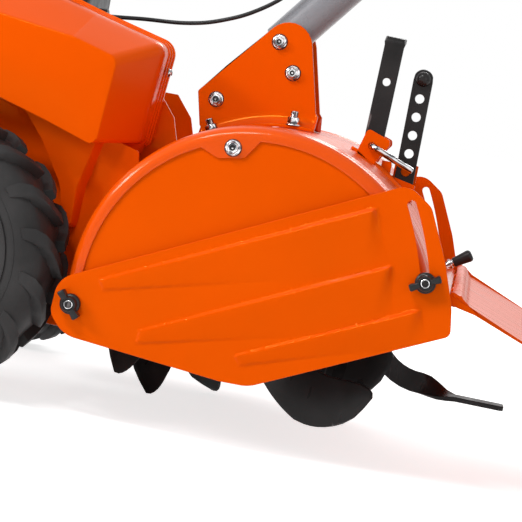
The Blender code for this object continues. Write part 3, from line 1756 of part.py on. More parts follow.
def make_lock_pin(finish):
    """A bent plated pin: the shank goes through the ear, the lever and the back ear."""
    x, z = LEVER_PIVOT
    turn = math.radians(-21.0)
    ahead = Vector((math.cos(turn), 0.0, math.sin(turn)))
    corner = Vector((x, -0.0440, z))
    route = [Vector((x, 0.0350, z)), corner, corner + ahead * 0.0600]
    return bent_tube("lock_pin", route, LOCK_PIN_RADIUS, 0.010, finish, 12, 4, (x, 0.0, z))


# Tines


def make_tine_set(name, side, y, inward_bend, phase_deg, finish):
    """A hub tube with swept blades that broaden, then bend outwards to the tip."""
    centre_y = side * y
    half = TINE_HUB_LENGTH / 2.0
    bore = TINE_SHAFT_RADIUS + GAP
    hub = ring_turned(
        name,
        (TINE_X, centre_y, TINE_Z),
        (0, 1, 0),
        [(-half, bore), (-half, TINE_HUB_RADIUS), (half, TINE_HUB_RADIUS), (half, bore)],
        finish,
        SHAFT_FACETS,
        (TINE_X, centre_y, TINE_Z),
    )
    blades = []
    for i in range(TINES_PER_SET):
        hand = 1 if i % 2 == 0 else -1
        reach = TINE_BEND if hand > 0 else inward_bend
        blades.append(tine_blade(name, side * hand, centre_y, phase_deg + i * 360.0 / TINES_PER_SET, reach))
    return fuse(hub, *blades)


def tine_blade(name, towards, centre_y, start_deg, reach):
    """One blade, whose tip bends by the reach given towards +Y (1) or -Y (-1)."""
    build = bmesh.new()
    rings = []
    plane = centre_y + towards * 0.012
    for s in (0.0, 0.22, 0.44, 0.62, 0.78, 0.90, 0.97, 1.0):
        radius = 0.016 + (TINE_RADIUS - 0.016) * s
        sweep = math.radians(start_deg + TINE_SWEEP_DEG * s**1.6)
        width = TINE_ROOT_HALF + TINE_SPREAD * min(1.0, s / 0.75) ** 1.6
        if s > 0.8:
            width *= math.sqrt(1.0 - 0.8 * ((s - 0.8) / 0.2) ** 2)
        bent = max(0.0, (s - 0.45) / 0.55)
        bend = bent**1.6 * reach * towards
        centre = Vector((math.cos(sweep), math.sin(sweep))) * radius
        across = Vector((-math.sin(sweep), math.cos(sweep)))
        ring = []
        for edge, face in ((-1, -1), (1, -1), (1, 1), (-1, 1)):
            point = centre + across * width * edge
            if point.length > TINE_RADIUS:
                point = point.normalized() * TINE_RADIUS
            y = plane + bend + towards * bent * edge * TINE_TILT + face * TINE_THICKNESS / 2
            ring.append(build.verts.new((TINE_X + point.x, y, TINE_Z + point.y)))
        rings.append(ring)
    build.faces.new(rings[0])
    build.faces.new(rings[-1][::-1])
    for first, second in zip(rings, rings[1:]):
        for k in range(4):
            m = (k + 1) % 4
            build.faces.new((first[k], first[m], second[m], second[k]))
    bmesh.ops.triangulate(build, faces=build.faces)
    return add(name + "_blade", build)


def make_tines(finish, steel):
    end = TINE_SET_Y[1] + TINE_HUB_LENGTH / 2.0 + 0.008
    rod(
        "tine_shaft",
        (TINE_X, -end, TINE_Z),
        (TINE_X, end, TINE_Z),
        TINE_SHAFT_RADIUS,
        steel,
        SHAFT_FACETS,
        TINE_AXIS,
    )
    for word, side in (("left", -1), ("right", 1)):
        for place, y, bend in (
            ("inner", TINE_SET_Y[0], TINE_BEND_BY_CASE),
            ("outer", TINE_SET_Y[1], TINE_BEND),
        ):
            turn = TINE_TURNS[f"{word}_{place}"]
            make_tine_set(f"{word}_{place}_tines", side, y, bend, turn, finish)


# Handlebar


def bracket_outline():
    return rounded_outline(
        [
            (0.0020, 0.5350, 0.026),
            (0.0420, 0.4900, 0.026),
            (0.0560, hood_height(0.0560) + 0.0225, 0),
            (-0.0785, hood_height(-0.0785) + 0.0225, 0),
            (-0.0900, 0.4060, 0.008),
        ],
        3,
    )


def make_bracket_plate(name, side, finish):
    """A plate that stands on the hood, its foot turned out to lie along the curve of the hood."""
    near = side * (BRACKET_INNER + GAP)
    thick = side * 0.004
    build = bmesh.new()
    front, back = -0.0790, 0.0600
    steps = 6
    seat = HOOD_RADIUS + 2.0 * GAP
    # The section runs from the foot's outer edge, round the bend, up to the flat plate
    section = [
        (0.026, 0.0, 0.0), (0.012, 0.0, 0.0), (0.004, 0.003, 0.35), (0.0, 0.012, 0.8), (0.0, 0.030, 1.0)
    ]
    inner_rings, outer_rings = [], []
    for i in range(steps + 1):
        x = front + (back - front) * i / steps
        base = hood_height(x, seat)
        inner, outer = [], []
        for out, rise, upright in section:
            thickness_up = 0.004 * (1.0 - upright)
            y = near + side * out
            inner.append(build.verts.new((x, y, base + rise)))
            outer.append(build.verts.new((x, y + thick * upright, base + rise + thickness_up)))
        inner_rings.append(inner)
        outer_rings.append(outer)
    count = len(section)
    for i in range(steps):
        for k in range(count - 1):
            build.faces.new(
                (inner_rings[i][k], inner_rings[i][k + 1], inner_rings[i + 1][k + 1], inner_rings[i + 1][k])
            )
            build.faces.new(
                (outer_rings[i][k + 1], outer_rings[i][k], outer_rings[i + 1][k], outer_rings[i + 1][k + 1])
            )
        for k in (0, count - 1):
            build.faces.new(
                (inner_rings[i][k], inner_rings[i + 1][k], outer_rings[i + 1][k], outer_rings[i][k])
            )
    for i in (0, steps):
        for k in range(count - 1):
            build.faces.new(
                (inner_rings[i][k], inner_rings[i][k + 1], outer_rings[i][k + 1], outer_rings[i][k])
            )
    foot = add(name, build, finish)
    low, high = sorted((near, near + thick))
    plate = prism(name + "_upright", bracket_outline(), low, high)
    fuse(foot, plate)
    holes = []
    for x, z in (BRACKET_PIVOT, BRACKET_LOCK):
        holes.append(rod(name + "_hole", (x, -0.1, z), (x, 0.1, z), BOLT_RADIUS + GAP, None, 14))
    cut(foot, *holes)
    studs = []
    for x in (-0.0620, 0.0370):
        z = hood_height(x, seat)
        y = near + side * 0.016
        studs.append(
            rod(name + "_foot_bolt", (x, y, z + 0.0038), (x, y, z + 0.0145), BOLT_HEAD_RADIUS, None, 6)
        )
    x, z = BRACKET_FRONT
    face = near + side * 0.0036
    studs.append(
        rod(
            name + "_front_washer", (x, face, z), (x, face + side * 0.0020, z), FLANGE_HEAD_RADIUS, None, 12
        ),
    )
    studs.append(
        rod(name + "_front_bolt", (x, face, z), (x, face + side * 0.0070, z), BOLT_HEAD_RADIUS, None, 6)
    )
    return fuse(foot, *studs)


def make_cross_bolt(name, place, finish):
    x, z = place
    half = BRACKET_INNER + GAP + 0.004 + GAP
    head = 0.0080
    profile = [
        (0.0, 0.0),
        (0.0, BOLT_RADIUS + 0.0015),
        (head - 0.002, BOLT_RADIUS + 0.0015),
        (head - 0.002, FLANGE_HEAD_RADIUS),
        (head, FLANGE_HEAD_RADIUS),
        (head, BOLT_RADIUS),
        (head + 2 * half, BOLT_RADIUS),
        (head + 2 * half, FLANGE_HEAD_RADIUS),
        (head + 2 * half + 0.007, FLANGE_HEAD_RADIUS - 0.001),
        (head + 2 * half + 0.007, 0.0),
    ]
    return turned(name, (x, -half - head, z), (0, 1, 0), profile, finish, 12, (x, 0.0, z))


def column_axis():
    lean = math.radians(COLUMN_ANGLE_DEG)
    return Vector((math.cos(lean), 0.0, math.sin(lean)))


def make_column(finish):
    """The single lower tube, with a tongue at its foot that both bolts pass through."""
    ahead = column_axis()
    pivot = Vector((BRACKET_PIVOT[0], 0.0, BRACKET_PIVOT[1]))
    start = pivot - ahead * 0.004
    end = pivot + ahead * COLUMN_LENGTH
    column = rod("handlebar_column", start, end, COLUMN_RADIUS, finish, 22)
    tongue = prism(
        "column_tongue",
        hull_of_circles(BRACKET_PIVOT, 0.016, BRACKET_LOCK, 0.0145, 8),
        -BRACKET_INNER + 0.0005,
        BRACKET_INNER - 0.0005,
    )
    fuse(column, tongue)
    holes = []
    for x, z in (BRACKET_PIVOT, BRACKET_LOCK):
        holes.append(rod("column_hole", (x, -0.1, z), (x, 0.1, z), BOLT_RADIUS + GAP, None, 14))
    return cut(column, *holes)


def console_frame():
    """The console's middle, at the top of the column."""
    return Vector((BRACKET_PIVOT[0], 0.0, BRACKET_PIVOT[1])) + column_axis() * COLUMN_LENGTH


CONSOLE_HALF = 0.060
CONSOLE_LENGTH = 0.120
CONSOLE_HEIGHT = 0.040


def make_handlebar(grey, black, orange, steel):
    make_column(grey)
    top = console_frame()
    # The console is a folded box on the column's end, its face leaning towards the operator
    lean = math.radians(30.0)
    ahead = Vector((math.cos(lean), 0.0, math.sin(lean)))
    up = Vector((-math.sin(lean), 0.0, math.cos(lean)))
    base = top + column_axis() * GAP + up * 0.012 - ahead * 0.030

    def side_points(low, high, start, end):
        corners = [
            base + ahead * start + up * low,
            base + ahead * end + up * low,
            base + ahead * end + up * high,
            base + ahead * start + up * high,
        ]
        return [(c.x, c.z) for c in corners]

    console = prism(
        "console",
        side_points(0.0, CONSOLE_HEIGHT, 0.0, CONSOLE_LENGTH),
        -CONSOLE_HALF,
        CONSOLE_HALF,
        orange,
    )
    round_edges(console, 0.008, 3)
    room = prism("console_room", side_points(0.008, 0.08, 0.030, 0.100), -0.006, 0.006)
    column_room = rod(
        "console_column_room",
        top - column_axis() * 0.2,
        top + column_axis() * GAP,
        COLUMN_RADIUS + GAP,
        None,
        22,
    )
    cut(console, room, column_room)

    shift_foot = base + ahead * 0.065 + up * 0.020
    shift = rod("shift_lever", shift_foot, shift_foot + up * 0.095, 0.0040, steel, 12, shift_foot)
    ball = turned(
        "shift_knob",
        shift_foot + up * 0.085,
        up,
        [(0.0, 0.0), (0.0, 0.008), (0.008, 0.013), (0.020, 0.015), (0.030, 0.011), (0.034, 0.0)],
        None,
        16,
    )
    axle = rod(
        "shift_axle",
        shift_foot - Vector((0, 0.0057, 0)),
        shift_foot + Vector((0, 0.0057, 0)),
        0.0055,
        None,
        14,
    )
    fuse(shift, ball, axle)

    side_mid = base + ahead * 0.060 + up * 0.018
    grip_end = REACH
    grip_start = grip_end - GRIP_LENGTH
    loop_route = []
    for side in (-1, 1):
        beside = side * (CONSOLE_HALF + HANDLE_RADIUS + GAP)
        route = [
            side_mid - ahead * 0.045 + Vector((0.0, beside, 0.0)),
            side_mid + ahead * 0.045 + Vector((0.0, beside, 0.0)),
            Vector((grip_start - 0.130, side * GRIP_Y, GRIP_Z)),
            Vector((grip_end - 0.004, side * GRIP_Y, GRIP_Z)),
        ]
        loop_route.append(route)
    return loop_route


def make_arms(grey, black, steel, orange):
    """Two bent arms bolted to the console's sides, joined by a brace, with the grips and the clutch lever."""
    loop_route = make_handlebar(grey, black, orange, steel)
    arms = []
    brace = []
    for route in loop_route:
        arms.append(bent_tube("handle_arm", route, HANDLE_RADIUS, 0.090, None, 10, 3))
        brace.append(route[1].lerp(route[2], 0.62))
    handle = rod("handlebar_arms", brace[0], brace[1], 0.009, grey, 12)
    fuse(handle, *arms)

    for word, side in (("left", -1), ("right", 1)):
        start = (REACH - GRIP_LENGTH, side * GRIP_Y, GRIP_Z)
        inner = HANDLE_RADIUS + GAP
        profile = [
            (0.0, inner),
            (0.0, GRIP_RADIUS + 0.0030),
            (0.006, GRIP_RADIUS + 0.0030),
            (0.008, GRIP_RADIUS),
            (0.060, GRIP_RADIUS + 0.0008),
            (GRIP_LENGTH - 0.012, GRIP_RADIUS),
            (GRIP_LENGTH - 0.006, GRIP_RADIUS + 0.0015),
            (GRIP_LENGTH, GRIP_RADIUS - 0.002),
            (GRIP_LENGTH, inner),
        ]
        ring_turned(word + "_grip", start, (1, 0, 0), profile, black, 16)

    # Clutch bail: a bar under both grips, hung from the arms
    pivot_x = REACH - GRIP_LENGTH - 0.030
    pivot_z = GRIP_Z
    inner_y = GRIP_Y - HANDLE_RADIUS - 0.006
    drop = 0.038
    bail_route = [
        (pivot_x, -inner_y, pivot_z),
        (pivot_x + 0.030, -inner_y, pivot_z - drop),
        (pivot_x + 0.125, -inner_y, pivot_z - drop),
        (pivot_x + 0.125, inner_y, pivot_z - drop),
        (pivot_x + 0.030, inner_y, pivot_z - drop),
        (pivot_x, inner_y, pivot_z),
    ]
    bail = bent_tube("clutch_lever", bail_route, 0.0045, 0.030, steel, 8, 2, (pivot_x, 0.0, pivot_z))
    ends = []
    for side in (-1, 1):
        low = side * (inner_y - 0.004)
        high = side * (GRIP_Y - HANDLE_RADIUS - GAP)
        ends.append(rod("bail_eye", (pivot_x, low, pivot_z), (pivot_x, high, pivot_z), 0.0075, None, 14))
    fuse(bail, *ends)
    return handle


CABLE_RADIUS = 0.0026
CABLE_STEPS = 3
CABLE_END = (0.2292, 0.0, 0.8205)


def make_cable(finish):
    """The clutch cable, from the idler arm, past the bracket, to the console's underside."""
    ahead = column_axis()
    above = Vector((-ahead.z, 0.0, ahead.x)) * (COLUMN_RADIUS + CABLE_RADIUS + GAP)
    pivot = Vector((BRACKET_PIVOT[0], 0.0, BRACKET_PIVOT[1]))
    points = [
        (-0.3150, -0.0944, 0.4565),
        (-0.3080, -0.0840, 0.4600),
        (-0.2880, -0.0710, 0.4655),
        (-0.2400, -0.0670, 0.4705),
        (-0.2050, -0.0580, 0.4740),
        (-0.1801, -0.0430, 0.4775),
        (-0.1097, -0.0360, 0.4850),
        (-0.0728, -0.0340, 0.4961),
        (-0.0370, -0.0330, 0.5135),
        (0.0000, -0.0300, 0.5420),
        (0.0540, -0.0160, 0.6030),
    ]
    for along in (0.220, 0.300, 0.370):
        points.append(pivot + ahead * along + above)
    points.append(CABLE_END)
    line = bpy.data.curves.new("control_cable", "CURVE")
    line.dimensions = "3D"
    line.bevel_depth = CABLE_RADIUS
    line.bevel_resolution = 1
    line.use_fill_caps = True
    route = smooth_route(points, CABLE_STEPS)
    spline = line.splines.new("POLY")
    spline.points.add(len(route) - 1)
    for point, place in zip(spline.points, route):
        point.co = (*place, 1.0)
    line.materials.append(finish)
    cable = bpy.data.objects.new("control_cable", line)
    bpy.context.scene.collection.objects.link(cable)
    return cable


def main():
    clear_scene()
    orange = material("orange_enamel", ORANGE, 0.25)
    orange_cover = material("orange_moulding", ORANGE, 0.30)
    black_enamel = material("black_enamel", BLACK, 0.40)
    gear_enamel = material("gear_enamel", BLACK, 0.45)
    black_plastic = material("black_plastic", BLACK, 0.50)
    dark = material("dark_steel", DARK_STEEL, 0.45, 0.6)
    plated = material("plated_steel", STEEL, 0.25, 1.0)
    grey = material("grey_enamel", GREY, 0.35)
    aluminium = material("cast_aluminium", ALUMINIUM, 0.55, 0.8)
    rubber = material("tyre_rubber", RUBBER, 0.80)
    belt = material("belt_rubber", BLACK, 0.85)

    make_wheels(orange, rubber, plated)
    make_gear_case(gear_enamel)
    make_main_frame(orange)
    make_front_bumper(black_enamel)
    make_engine(aluminium, black_plastic, plated)
    make_belt_drive(plated, belt)
    make_belt_cover(orange_cover)
    make_hood(orange)
    for word, side in (("left", -1), ("right", 1)):
        make_side_plate(word + "_side_plate", side, orange)
        make_side_shield(word + "_side_shield", side, orange)
        make_wing_knob(word + "_front_knob", side, SHIELD_PIVOT, -50.0, black_plastic)
        make_wing_knob(word + "_rear_knob", side, SHIELD_SLOT_POINT, 27.0, black_plastic)
        make_bracket_plate(word + "_bracket_plate", side, orange)
    make_flap(orange, plated, black_plastic)
    make_stake(dark)
    make_lever(dark)
    make_stake_bracket(orange)
    make_lock_pin(plated)
    make_tines(dark, plated)
    make_cross_bolt("handlebar_pivot_bolt", BRACKET_PIVOT, plated)
    make_cross_bolt("handlebar_lock_bolt", BRACKET_LOCK, plated)
    make_arms(grey, black_plastic, dark, orange)
    make_cable(black_plastic)


main()
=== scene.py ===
"""Looks for the rear tine tiller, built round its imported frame.

Metres, +Z up, +X to the rear. The machine's left side faces -Y and the camera.
"""

import json
import math

import bmesh
import bpy
from mathutils import Matrix, Vector
from mathutils.geometry import delaunay_2d_cdt
from mathutils.kdtree import KDTree


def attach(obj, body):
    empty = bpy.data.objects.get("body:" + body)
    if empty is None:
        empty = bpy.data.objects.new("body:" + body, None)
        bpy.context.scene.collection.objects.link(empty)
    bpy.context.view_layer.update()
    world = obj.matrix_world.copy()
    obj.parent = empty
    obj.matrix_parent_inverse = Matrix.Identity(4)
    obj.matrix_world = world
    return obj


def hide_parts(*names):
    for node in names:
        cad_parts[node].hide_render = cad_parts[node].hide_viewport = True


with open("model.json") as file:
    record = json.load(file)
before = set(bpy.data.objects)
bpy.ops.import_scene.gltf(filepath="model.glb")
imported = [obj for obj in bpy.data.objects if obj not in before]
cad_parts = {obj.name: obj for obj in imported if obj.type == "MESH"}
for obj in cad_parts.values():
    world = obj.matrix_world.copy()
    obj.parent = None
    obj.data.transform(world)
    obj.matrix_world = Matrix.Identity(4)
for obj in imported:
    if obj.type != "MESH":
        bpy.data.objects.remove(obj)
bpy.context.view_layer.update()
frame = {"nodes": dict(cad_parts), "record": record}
BODY_OF = {}
for body_name, members in frame["record"]["behaviour"]["bodies"].items():
    for member in members:
        BODY_OF[member] = body_name
SLOT_OF = {row["node"]: row["material_slot"] for row in frame["record"]["subparts"]}

GAP = 0.0003
SIDES = (("left", -1), ("right", 1))

# Sizes, most of them as the source gives its solids
WHEEL_RADIUS = 0.165
WHEEL_X = -0.345
WHEEL_Y = 0.215
TYRE_HALF = 0.055
CARCASS_RADIUS = 0.1535
LUGS_PER_SIDE = 16
RIM_RADIUS = 0.078
RIM_HALF = 0.045
WHEEL_BOLTS = 5
WHEEL_BOLT_CIRCLE = 0.040
AXLE_RADIUS = 0.0127
TINE_CENTRE = (0.045, 0.165)
TINE_RADIUS = 0.176
TINE_HUB_RADIUS = 0.024
TINE_HUB_HALF = 0.028
TINE_SWEEP = 34.0
TINE_TURNS = {
    "left_outer_tines": -64.0,
    "left_inner_tines": -50.0,
    "right_inner_tines": -152.0,
    "right_outer_tines": -60.0,
}
HOOD_RADIUS = 0.213
HOOD_HALF = 0.245
HOOD_FILLET = 0.013
HOOD_FLANGE_RADIUS = 0.196
HOOD_BOLT = (-0.0045, 0.3475)
SHEET = 0.0025
SHIELD_Y = 0.252
SHIELD_SHEET = 0.0022
SHIELD_PIVOT = (-0.1564, 0.1355)
SHIELD_SLOT = (0.2403, 0.2395)
SHIELD_DROP = 11.5
SLOT_HALF = 0.0050
SLOT_SPARE = 1.0
STUD_RADIUS = 0.0036
FLAP_HINGE = (0.2765, 0.2225)
FLAP_DROP = 20.5
EYE_RADIUS = 0.0066
STAKE_X = 0.1845
STAKE_HALF = 0.0123
STAKE_THIN = 0.003
STAKE_ARC = 0.01075
STAKE_TOP = 0.4815
STAKE_TOP_HOLE = 0.4441
STAKE_HOLES = 7
STAKE_PITCH = 0.0234
STAKE_HOLE = 0.0058
STAKE_BEND = 0.070
STAKE_FOOT_Z = 0.080
STAKE_FOOT_DIP = 0.010
STAKE_FOOT_END = 0.3635
LEVER_PIVOT = (0.1385, 0.3755)
LEVER_TOP = 0.511
LEVER_Y = -0.0195
PIN_HOLE = 0.0046
BRACKET_INNER = 0.0262
BRACKET_SHEET = 0.004
BRACKET_PIVOT = (0.0, 0.4815)
BRACKET_LOCK = (0.0235, 0.4462)
BRACKET_FRONT = (-0.0661, 0.3965)
BRACKET_STUDS = (-0.0597, 0.0375)
COLUMN_RADIUS = 0.0255
COLUMN_TURN = 51.5
COLUMN_LENGTH = 0.430
CONSOLE_HALF = 0.060
HANDLE_RADIUS = 0.0125
GRIP_RADIUS = 0.0175
GRIP_Y = 0.2545
GRIP_Z = 1.000
GRIP_LENGTH = 0.130
REACH = 0.760
CABLE_RADIUS = 0.0026
BOLT_RADIUS = 0.005

# Looks
ORANGE = (0.79, 0.080, 0.0002)
GLINT = (1.0, 0.36, 0.02)
WHITE = (1.0, 1.0, 1.0, 1.0)
AMBIENT = 0.42
FLOOR_GREY = (0.80, 0.80, 0.80, 1.0)
FLOOR_LIFT = 0.72
CAMERA_PLACE = (0.2698, -2.2778, 0.4174)
CAMERA_AHEAD = (-0.1065, 0.9900, -0.0930)
CAMERA_RIGHT = (0.9751, 0.1223, 0.1850)
CAMERA_LENS = 123.61

# Name, place, target, width and height, power
LAMPS = (
    ("key_light", (-1.1, -1.9, 2.7), (0.0, 0.0, 0.25), (1.3, 0.32), 44.0),
    ("rim_light", (-2.6, -1.6, 1.55), (-0.1, -0.2, 0.25), (1.0, 0.5), 44.0),
    ("fill_light", (1.9, -2.6, 1.1), (0.1, 0.0, 0.25), (1.5, 1.5), 10.0),
    ("back_light", (0.6, 2.6, 2.2), (0.0, 0.0, 0.3), (1.3, 1.3), 44.0),
)


# Camera, light and floor


def make_camera():
    """The photograph's own viewpoint, fitted to points on the machine."""
    ahead = Vector(CAMERA_AHEAD).normalized()
    right = Vector(CAMERA_RIGHT)
    right = (right - ahead * right.dot(ahead)).normalized()
    up = right.cross(ahead)
    data = bpy.data.cameras.new("camera")
    data.sensor_width = 36.0
    data.lens = CAMERA_LENS
    data.clip_end = 60.0
    camera = bpy.data.objects.new("camera", data)
    bpy.context.scene.collection.objects.link(camera)
    turn = Matrix((right, up, -ahead)).transposed().to_4x4()
    camera.matrix_world = Matrix.Translation(CAMERA_PLACE) @ turn
    bpy.context.scene.camera = camera


def area_light(name, place, target, size, power):
    """A softbox of a width and a height, aimed at a point."""
    data = bpy.data.lights.new(name, "AREA")
    data.shape = "RECTANGLE"
    data.size, data.size_y = size
    data.energy = power
    lamp = bpy.data.objects.new(name, data)
    lamp.location = place
    aim = Vector(target) - Vector(place)
    lamp.rotation_mode = "QUATERNION"
    lamp.rotation_quaternion = aim.to_track_quat("-Z", "Y")
    bpy.context.scene.collection.objects.link(lamp)


def new_node(tree, kind, values=None, operation=None):
    """A shader node, with numbers on its sockets."""
    node = tree.nodes.new(kind)
    if operation:
        node.operation = operation
    for socket, value in (values or {}).items():
        node.inputs[socket].default_value = value
    return node


def seen_by_eye(tree):
    """1 for rays that show the background: from the camera, mirrored, or passed through."""
    path = new_node(tree, "ShaderNodeLightPath")
    total = path.outputs["Is Camera Ray"]
    for name in ("Is Glossy Ray", "Is Transmission Ray"):
        add = new_node(tree, "ShaderNodeMath", operation="MAXIMUM")
        tree.links.new(total, add.inputs[0])
        tree.links.new(path.outputs[name], add.inputs[1])
        total = add.outputs[0]
    return total


def make_light():
    for lamp in LAMPS:
        area_light(*lamp)
    world = bpy.data.worlds.new("studio")
    bpy.context.scene.world = world
    world.use_nodes = True
    tree = world.node_tree
    tree.nodes.clear()
    output = new_node(tree, "ShaderNodeOutputWorld")
    shown = new_node(tree, "ShaderNodeBackground", {"Color": WHITE, "Strength": 1.0})
    soft = new_node(tree, "ShaderNodeBackground", {"Color": WHITE, "Strength": AMBIENT})
    mix = new_node(tree, "ShaderNodeMixShader")
    tree.links.new(seen_by_eye(tree), mix.inputs[0])
    tree.links.new(soft.outputs[0], mix.inputs[1])
    tree.links.new(shown.outputs[0], mix.inputs[2])
    tree.links.new(mix.outputs[0], output.inputs["Surface"])


def make_floor():
    """A pale floor: white to the eye where nothing shades it."""
    material = bpy.data.materials.new("floor_paint")
    material.use_nodes = True
    tree = material.node_tree
    tree.nodes.clear()
    output = new_node(tree, "ShaderNodeOutputMaterial")
    paint = new_node(tree, "ShaderNodeBsdfDiffuse", {"Color": FLOOR_GREY})
    glow = new_node(tree, "ShaderNodeEmission")
    lift = new_node(tree, "ShaderNodeMath", {1: FLOOR_LIFT}, operation="MULTIPLY")
    both = new_node(tree, "ShaderNodeAddShader")
    tree.links.new(seen_by_eye(tree), lift.inputs[0])
    tree.links.new(lift.outputs[0], glow.inputs["Strength"])
    tree.links.new(paint.outputs[0], both.inputs[0])
    tree.links.new(glow.outputs[0], both.inputs[1])
    tree.links.new(both.outputs[0], output.inputs["Surface"])
    build = bmesh.new()
    bmesh.ops.create_grid(build, x_segments=4, y_segments=4, size=30.0)
    mesh = bpy.data.meshes.new("floor")
    build.to_mesh(mesh)
    build.free()
    mesh.materials.append(material)
    floor = bpy.data.objects.new("floor", mesh)
    floor.location.z = -0.0015
    bpy.context.scene.collection.objects.link(floor)


# Materials


class Finish:
    """A procedural material: tone, roughness and relief each vary over the surface."""

    def __init__(self, name, roughness, metallic=0.0):
        self.material = bpy.data.materials.new(name)
        self.material.use_nodes = True
        self.tree = self.material.node_tree
        self.sockets = self.tree.nodes["Principled BSDF"].inputs
        self.sockets["Metallic"].default_value = metallic
        self.sockets["Roughness"].default_value = roughness
        self.place = self.node("ShaderNodeTexCoord").outputs["Object"]
        self.relief = None

    def node(self, kind, values=None, operation=None):
        return new_node(self.tree, kind, values, operation)

    def link(self, source, target):
        self.tree.links.new(source, target)

    def noise(self, scale, detail, stretch=None, source=None):
        node = self.node("ShaderNodeTexNoise", {"Scale": scale, "Detail": detail})
        source = self.place if source is None else source
        if stretch:
            mapping = self.node("ShaderNodeMapping", {"Scale": stretch})
            self.link(source, mapping.inputs["Vector"])
            source = mapping.outputs["Vector"]
        self.link(source, node.inputs["Vector"])
        return node.outputs["Fac"]

    def span(self, value, low, high, from_low=0.3, from_high=0.7):
        ends = {"From Min": from_low, "From Max": from_high, "To Min": low, "To Max": high}
        node = self.node("ShaderNodeMapRange", ends)
        self.link(value, node.inputs["Value"])
        return node.outputs["Result"]

    def blend(self, share, first, second):
        """A mix of two colours, which becomes the base colour."""
        node = self.node("ShaderNodeMix")
        node.data_type = "RGBA"
        self.link(share, node.inputs[0])
        for socket, value in ((node.inputs[6], first), (node.inputs[7], second)):
            if isinstance(value, tuple):
                socket.default_value = (*value, 1.0)
            else:
                self.link(value, socket)
        self.colour = node.outputs[2]
        self.link(self.colour, self.sockets["Base Color"])
        return self

    def tone(self, dark, light, scale):
        return self.blend(self.span(self.noise(scale, 6.0), 0.0, 1.0), dark, light)

    def painted_reflection_tone(self, dark, light, scale, low, high):
        """Painted reflection: light and dark bands in the base colour that follow the way a plated surface
        faces, standing in for the surroundings it mirrors.
        """
        stir = self.node("ShaderNodeVectorMath", {1: (24.0, 24.0, 24.0)}, operation="MULTIPLY_ADD")
        self.link(self.place, stir.inputs[0])
        self.link(self.node("ShaderNodeTexCoord").outputs["Normal"], stir.inputs[2])
        bands = self.noise(scale, 1.0, None, stir.outputs["Vector"])
        return self.blend(self.span(bands, 0.0, 1.0, low, high), dark, light)

    def marks(self, colour, scale, threshold, stretch, softness):
        """Thin marks of another colour where a stretched noise is high."""
        share = self.span(self.noise(scale, 3.0, stretch), 0.0, 1.0, threshold, threshold + softness)
        return self.blend(share, self.colour, colour)

    def gloss(self, low, high, scale, stretch=None):
        self.link(self.span(self.noise(scale, 4.0, stretch), low, high), self.sockets["Roughness"])
        return self

    def bump(self, scale, depth, detail=3.0, stretch=None):
        node = self.node("ShaderNodeBump", {"Distance": depth, "Strength": 1.0})
        self.link(self.noise(scale, detail, stretch), node.inputs["Height"])
        if self.relief is not None:
            self.link(self.relief, node.inputs["Normal"])
        self.relief = node.outputs["Normal"]
        self.link(self.relief, self.sockets["Normal"])
        return self

    def rim_coat(self, start, weight, roughness):
        """A glossy coat on the parts of a piece further than start from the machine's middle."""
        split = self.node("ShaderNodeSeparateXYZ")
        self.link(self.place, split.inputs[0])
        away = self.node("ShaderNodeMath", operation="ABSOLUTE")
        self.link(split.outputs["Y"], away.inputs[0])
        share = self.span(away.outputs[0], 0.0, weight, start, start + 0.003)
        self.link(share, self.sockets["Coat Weight"])
        self.sockets["Coat Roughness"].default_value = roughness
        return self

    def specular(self, level, tint=(1.0, 1.0, 1.0)):
        self.sockets["Specular IOR Level"].default_value = level
        self.sockets["Specular Tint"].default_value = (*tint, 1.0)
        return self


def orange(name, roughness, dark, scale):
    """An orange paint that varies from a darker tone to a slightly lighter one."""
    tones = [tuple(min(1.0, part * by) for part in ORANGE) for by in (dark, 1.02)]
    return Finish(name, roughness).tone(*tones, scale)


def grey(level):
    return (level, level, level + 0.01)


